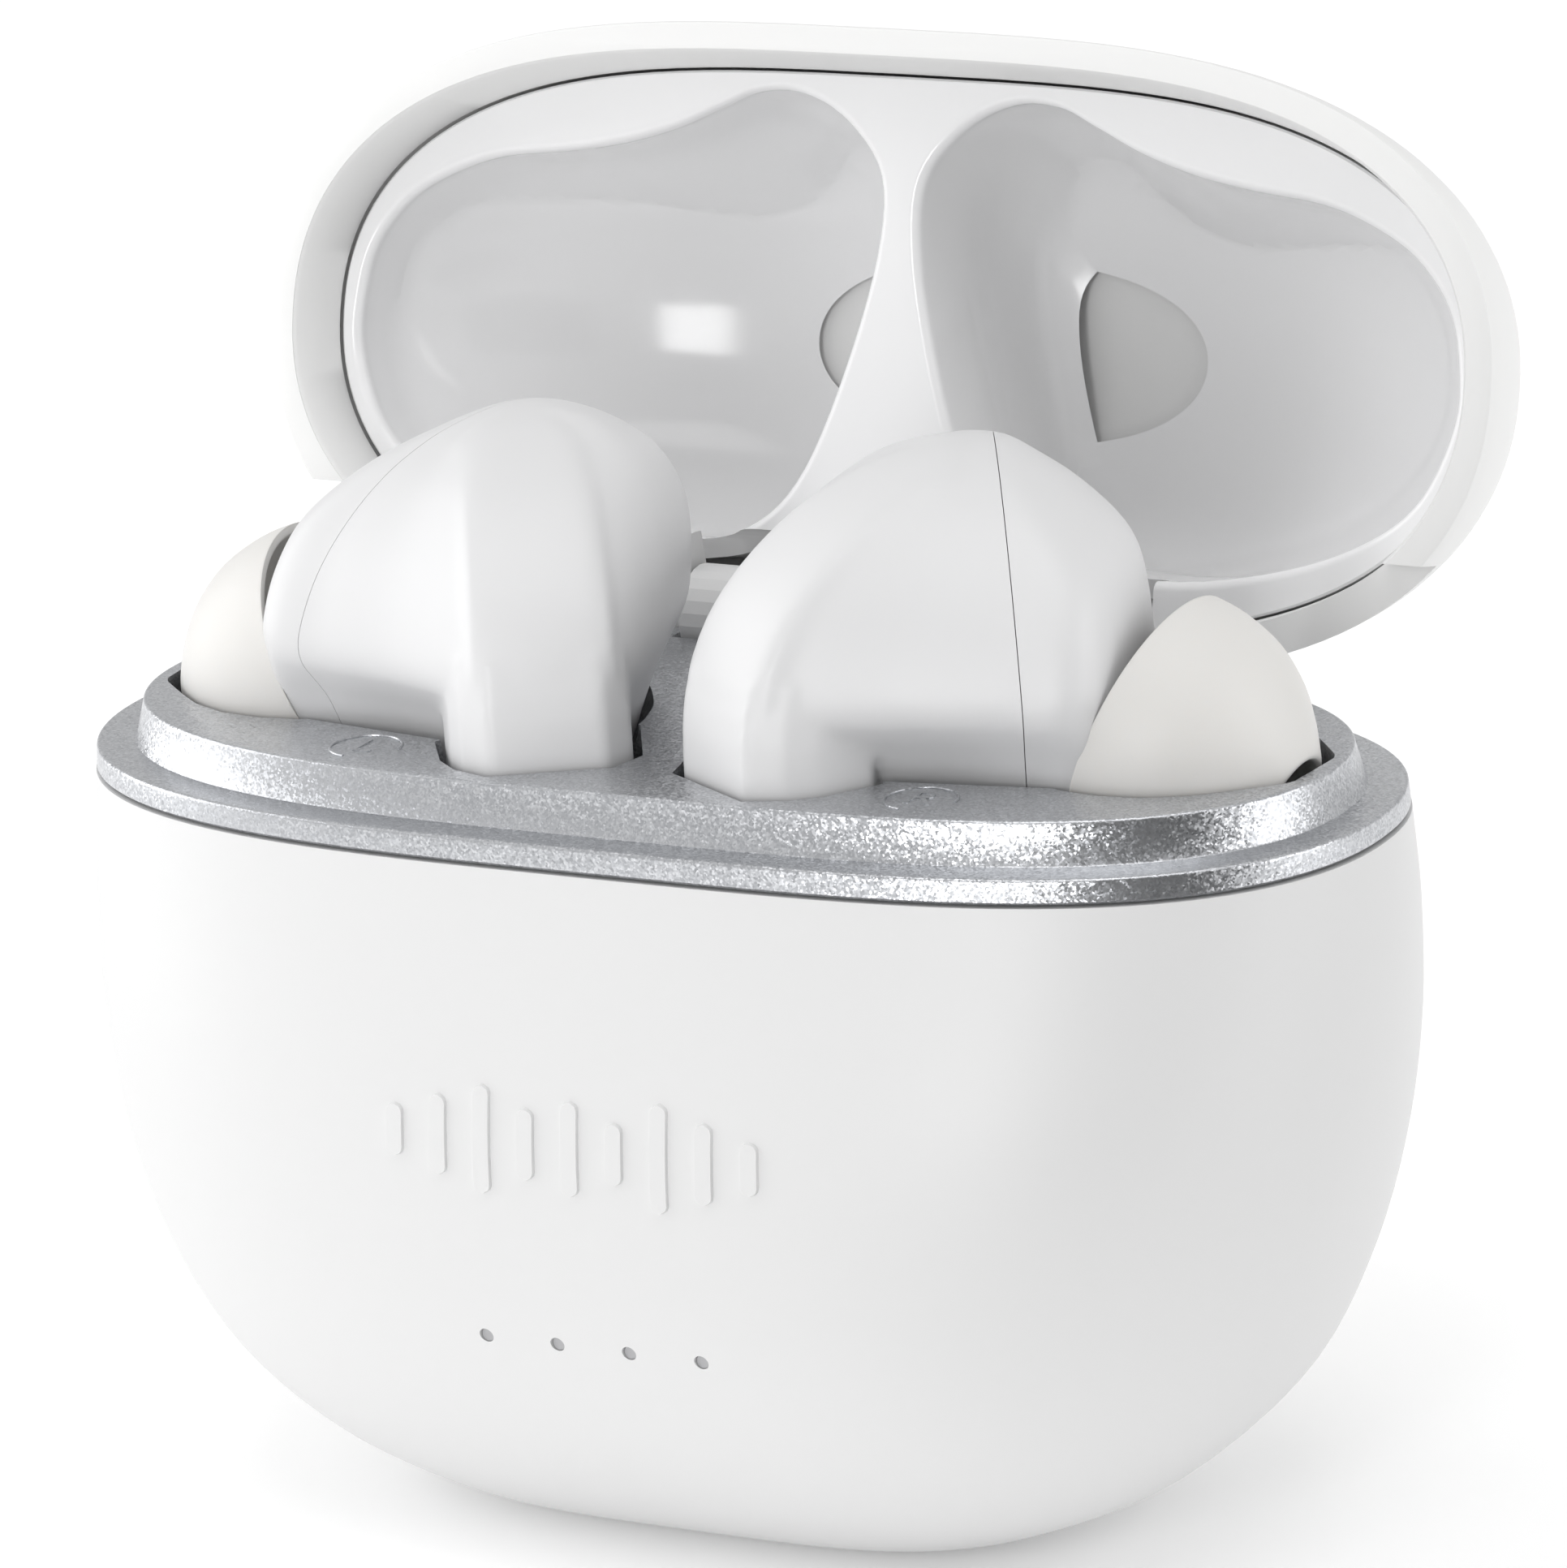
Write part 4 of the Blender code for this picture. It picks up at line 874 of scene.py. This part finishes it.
carve(liner, dome_limit(LINER_DOME_INSET), "INTERSECT")
for is_left in (False, True):
    pocket = add_piece("pocket", flipped(recess(0.0, LINER_Z - 1), is_left), GLOSS)
    carve(pocket, dome_limit(POCKET_DOME_INSET), "INTERSECT")
    hollow = liner.modifiers.new("hollow", "BOOLEAN")
    hollow.operation = "DIFFERENCE"
    hollow.object = pocket
    settle(liner)
    bpy.data.objects.remove(pocket, do_unlink=True)
carve(liner, notch())
opened(liner)
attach(liner, "lid")
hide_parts("lid_liner")


# An earbud's shells are satin white plastic in two halves, which meet in a fine seam. The outer
# half carries the stem, and the ear-side half carries the neck for the tip.
SEAM_NORMAL = Vector((0.878, 0.479, 0.02)).normalized()
SEAM_OFFSET = 11.8
SEAM_GAP = 0.018
REMESH_SIZE = 0.22
HALF_BLOCK = 30
NECK_END_RADIUS = 2.9
BUD_WHITE = satin_plastic("bud_satin", (0.67, 0.67, 0.675), 0.42, 6000, 0.003)


def half_space(beyond, is_left):
    """A big block on one side of the seam between a bud's two shells."""
    half = bmesh.new()
    bmesh.ops.create_cube(half, size=2 * HALF_BLOCK * MM)
    middle = SEAM_OFFSET + (HALF_BLOCK - SEAM_GAP if beyond else SEAM_GAP - HALF_BLOCK)
    foot = (SEAM_NORMAL * middle + Vector((0, 0, DECK_Z))) * MM
    turn = SEAM_NORMAL.to_track_quat("Z", "Y").to_matrix().to_4x4()
    bmesh.ops.transform(half, matrix=Matrix.Translation(foot) @ turn, verts=half.verts)
    return flipped(half, is_left)


def whole_bud(name, is_left):
    """Head, stem and neck blended into one soft form."""
    head = skin(head_rings(0.0, head_levels(0, len(HEAD), 4)))
    made = add_piece(name, flipped(head, is_left), BUD_WHITE)
    carve(made, flipped(skin(stem_rings(0.0)), is_left), "UNION")
    neck = rod(TIP_CENTRE - TIP_AXIS * NECK_LENGTH, TIP_CENTRE - TIP_AXIS * 0.3,
               NECK_RADIUS, 48, NECK_END_RADIUS)
    carve(made, flipped(neck, is_left), "UNION")
    blend = made.modifiers.new("blend", "REMESH")
    blend.mode = "VOXEL"
    blend.voxel_size = REMESH_SIZE * MM
    soften = made.modifiers.new("soften", "SMOOTH")
    soften.factor = 0.5
    soften.iterations = 6
    settle(made, 180)
    return made


for is_left in (False, True):
    side = "left" if is_left else "right"
    outer = whole_bud(f"outer_shell_{side}", is_left)
    ear_side = bpy.data.objects.new(f"ear_side_shell_{side}", outer.data.copy())
    bpy.context.scene.collection.objects.link(ear_side)
    carve(outer, half_space(True, is_left))
    carve(ear_side, half_space(False, is_left))
    for piece, node in ((outer, f"bud_outer_shell_{side}"), (ear_side, f"bud_ear_shell_{side}")):
        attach(piece, f"bud_{side}")
        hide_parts(node)


# The ear tips are soft silicone: a sleeve that grips the nozzle, and a thin skirt that folds
# back over it from the nose.
SILICONE = satin_plastic("soft_silicone", (0.70, 0.69, 0.67), 0.5, 900, 0.002)
silicone_shader = SILICONE.node_tree.nodes["Principled BSDF"]
silicone_shader.inputs["Subsurface Weight"].default_value = 0.35
silicone_shader.inputs["Subsurface Radius"].default_value = (0.0012, 0.0011, 0.0010)
# Places along the tip's axis and radii, first outside and then back inside.
TIP_OUTSIDE = ((-0.1, 5.95), (0.0, 6.02), (1.3, 6.0), (3.1, 5.6), (4.7, 4.72), (5.9, 3.65),
               (6.7, 2.75), (7.05, 2.3), (7.1, 2.1))
TIP_INSIDE = ((6.9, 1.92), (6.3, 1.85), (5.3, 1.85), (5.2, 2.45), (0.6, 2.45), (0.6, 3.1),
              (3.5, 3.1), (4.0, 3.6), (3.1, 4.85), (1.3, 5.5), (0.0, 5.6), (-0.1, 5.7))
for is_left in (False, True):
    side = "left" if is_left else "right"
    profile = [(p.x, p.y) for p in through([(*row, 0) for row in TIP_OUTSIDE], 4)]
    profile += TIP_INSIDE
    tip = bmesh.new()
    loop = [bmesh.ops.create_vert(tip, co=Vector((radius, 0, along)) * MM)["vert"][0]
            for along, radius in profile]
    for one, other in zip(loop, loop[1:] + loop[:1]):
        tip.edges.new((one, other))
    bmesh.ops.spin(tip, geom=tip.edges[:] + tip.verts[:], cent=(0, 0, 0), axis=(0, 0, 1),
                   angle=2 * math.pi, steps=96, use_merge=True)
    bmesh.ops.remove_doubles(tip, verts=tip.verts, dist=1e-7)
    turn = TIP_AXIS.to_track_quat("Z", "Y").to_matrix().to_4x4()
    bmesh.ops.transform(tip, matrix=Matrix.Translation(TIP_CENTRE * MM) @ turn, verts=tip.verts)
    bmesh.ops.recalc_face_normals(tip, faces=tip.faces)
    piece = add_piece(f"silicone_tip_{side}", flipped(tip, is_left), SILICONE, 60)
    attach(piece, f"bud_{side}")
    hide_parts(f"ear_tip_{side}")


# Everything that stays as the frame made it gets its finish here.
STEEL = satin_plastic("plain_steel", (0.62, 0.62, 0.62), 0.3, 2500, 0.002)
STEEL.node_tree.nodes["Principled BSDF"].inputs["Metallic"].default_value = 1.0
GOLD = satin_plastic("gold_plate", (0.85, 0.62, 0.25), 0.25, 2500, 0.001)
GOLD.node_tree.nodes["Principled BSDF"].inputs["Metallic"].default_value = 1.0
BLACK = satin_plastic("black_plastic", (0.03, 0.03, 0.03), 0.5, 3000, 0.004)
GREEN = satin_plastic("solder_mask", (0.02, 0.12, 0.06), 0.4, 1500, 0.004)
POUCH = satin_plastic("foil_wrap", (0.25, 0.27, 0.3), 0.35, 400, 0.02)
finishes = {
    "white_shell": WHITE, "gloss_liner": GLOSS, "silver_paint": SILVER, "silicone": SILICONE,
    "board": GREEN, "steel": STEEL, "gold_contact": GOLD, "black_plastic": BLACK,
    "battery_wrap": POUCH, "light_guide": LENS}
for row in frame["record"]["subparts"]:
    node = frame["nodes"][row["node"]]
    for material_slot in node.material_slots:
        material_slot.material = finishes[row["material_slot"]]
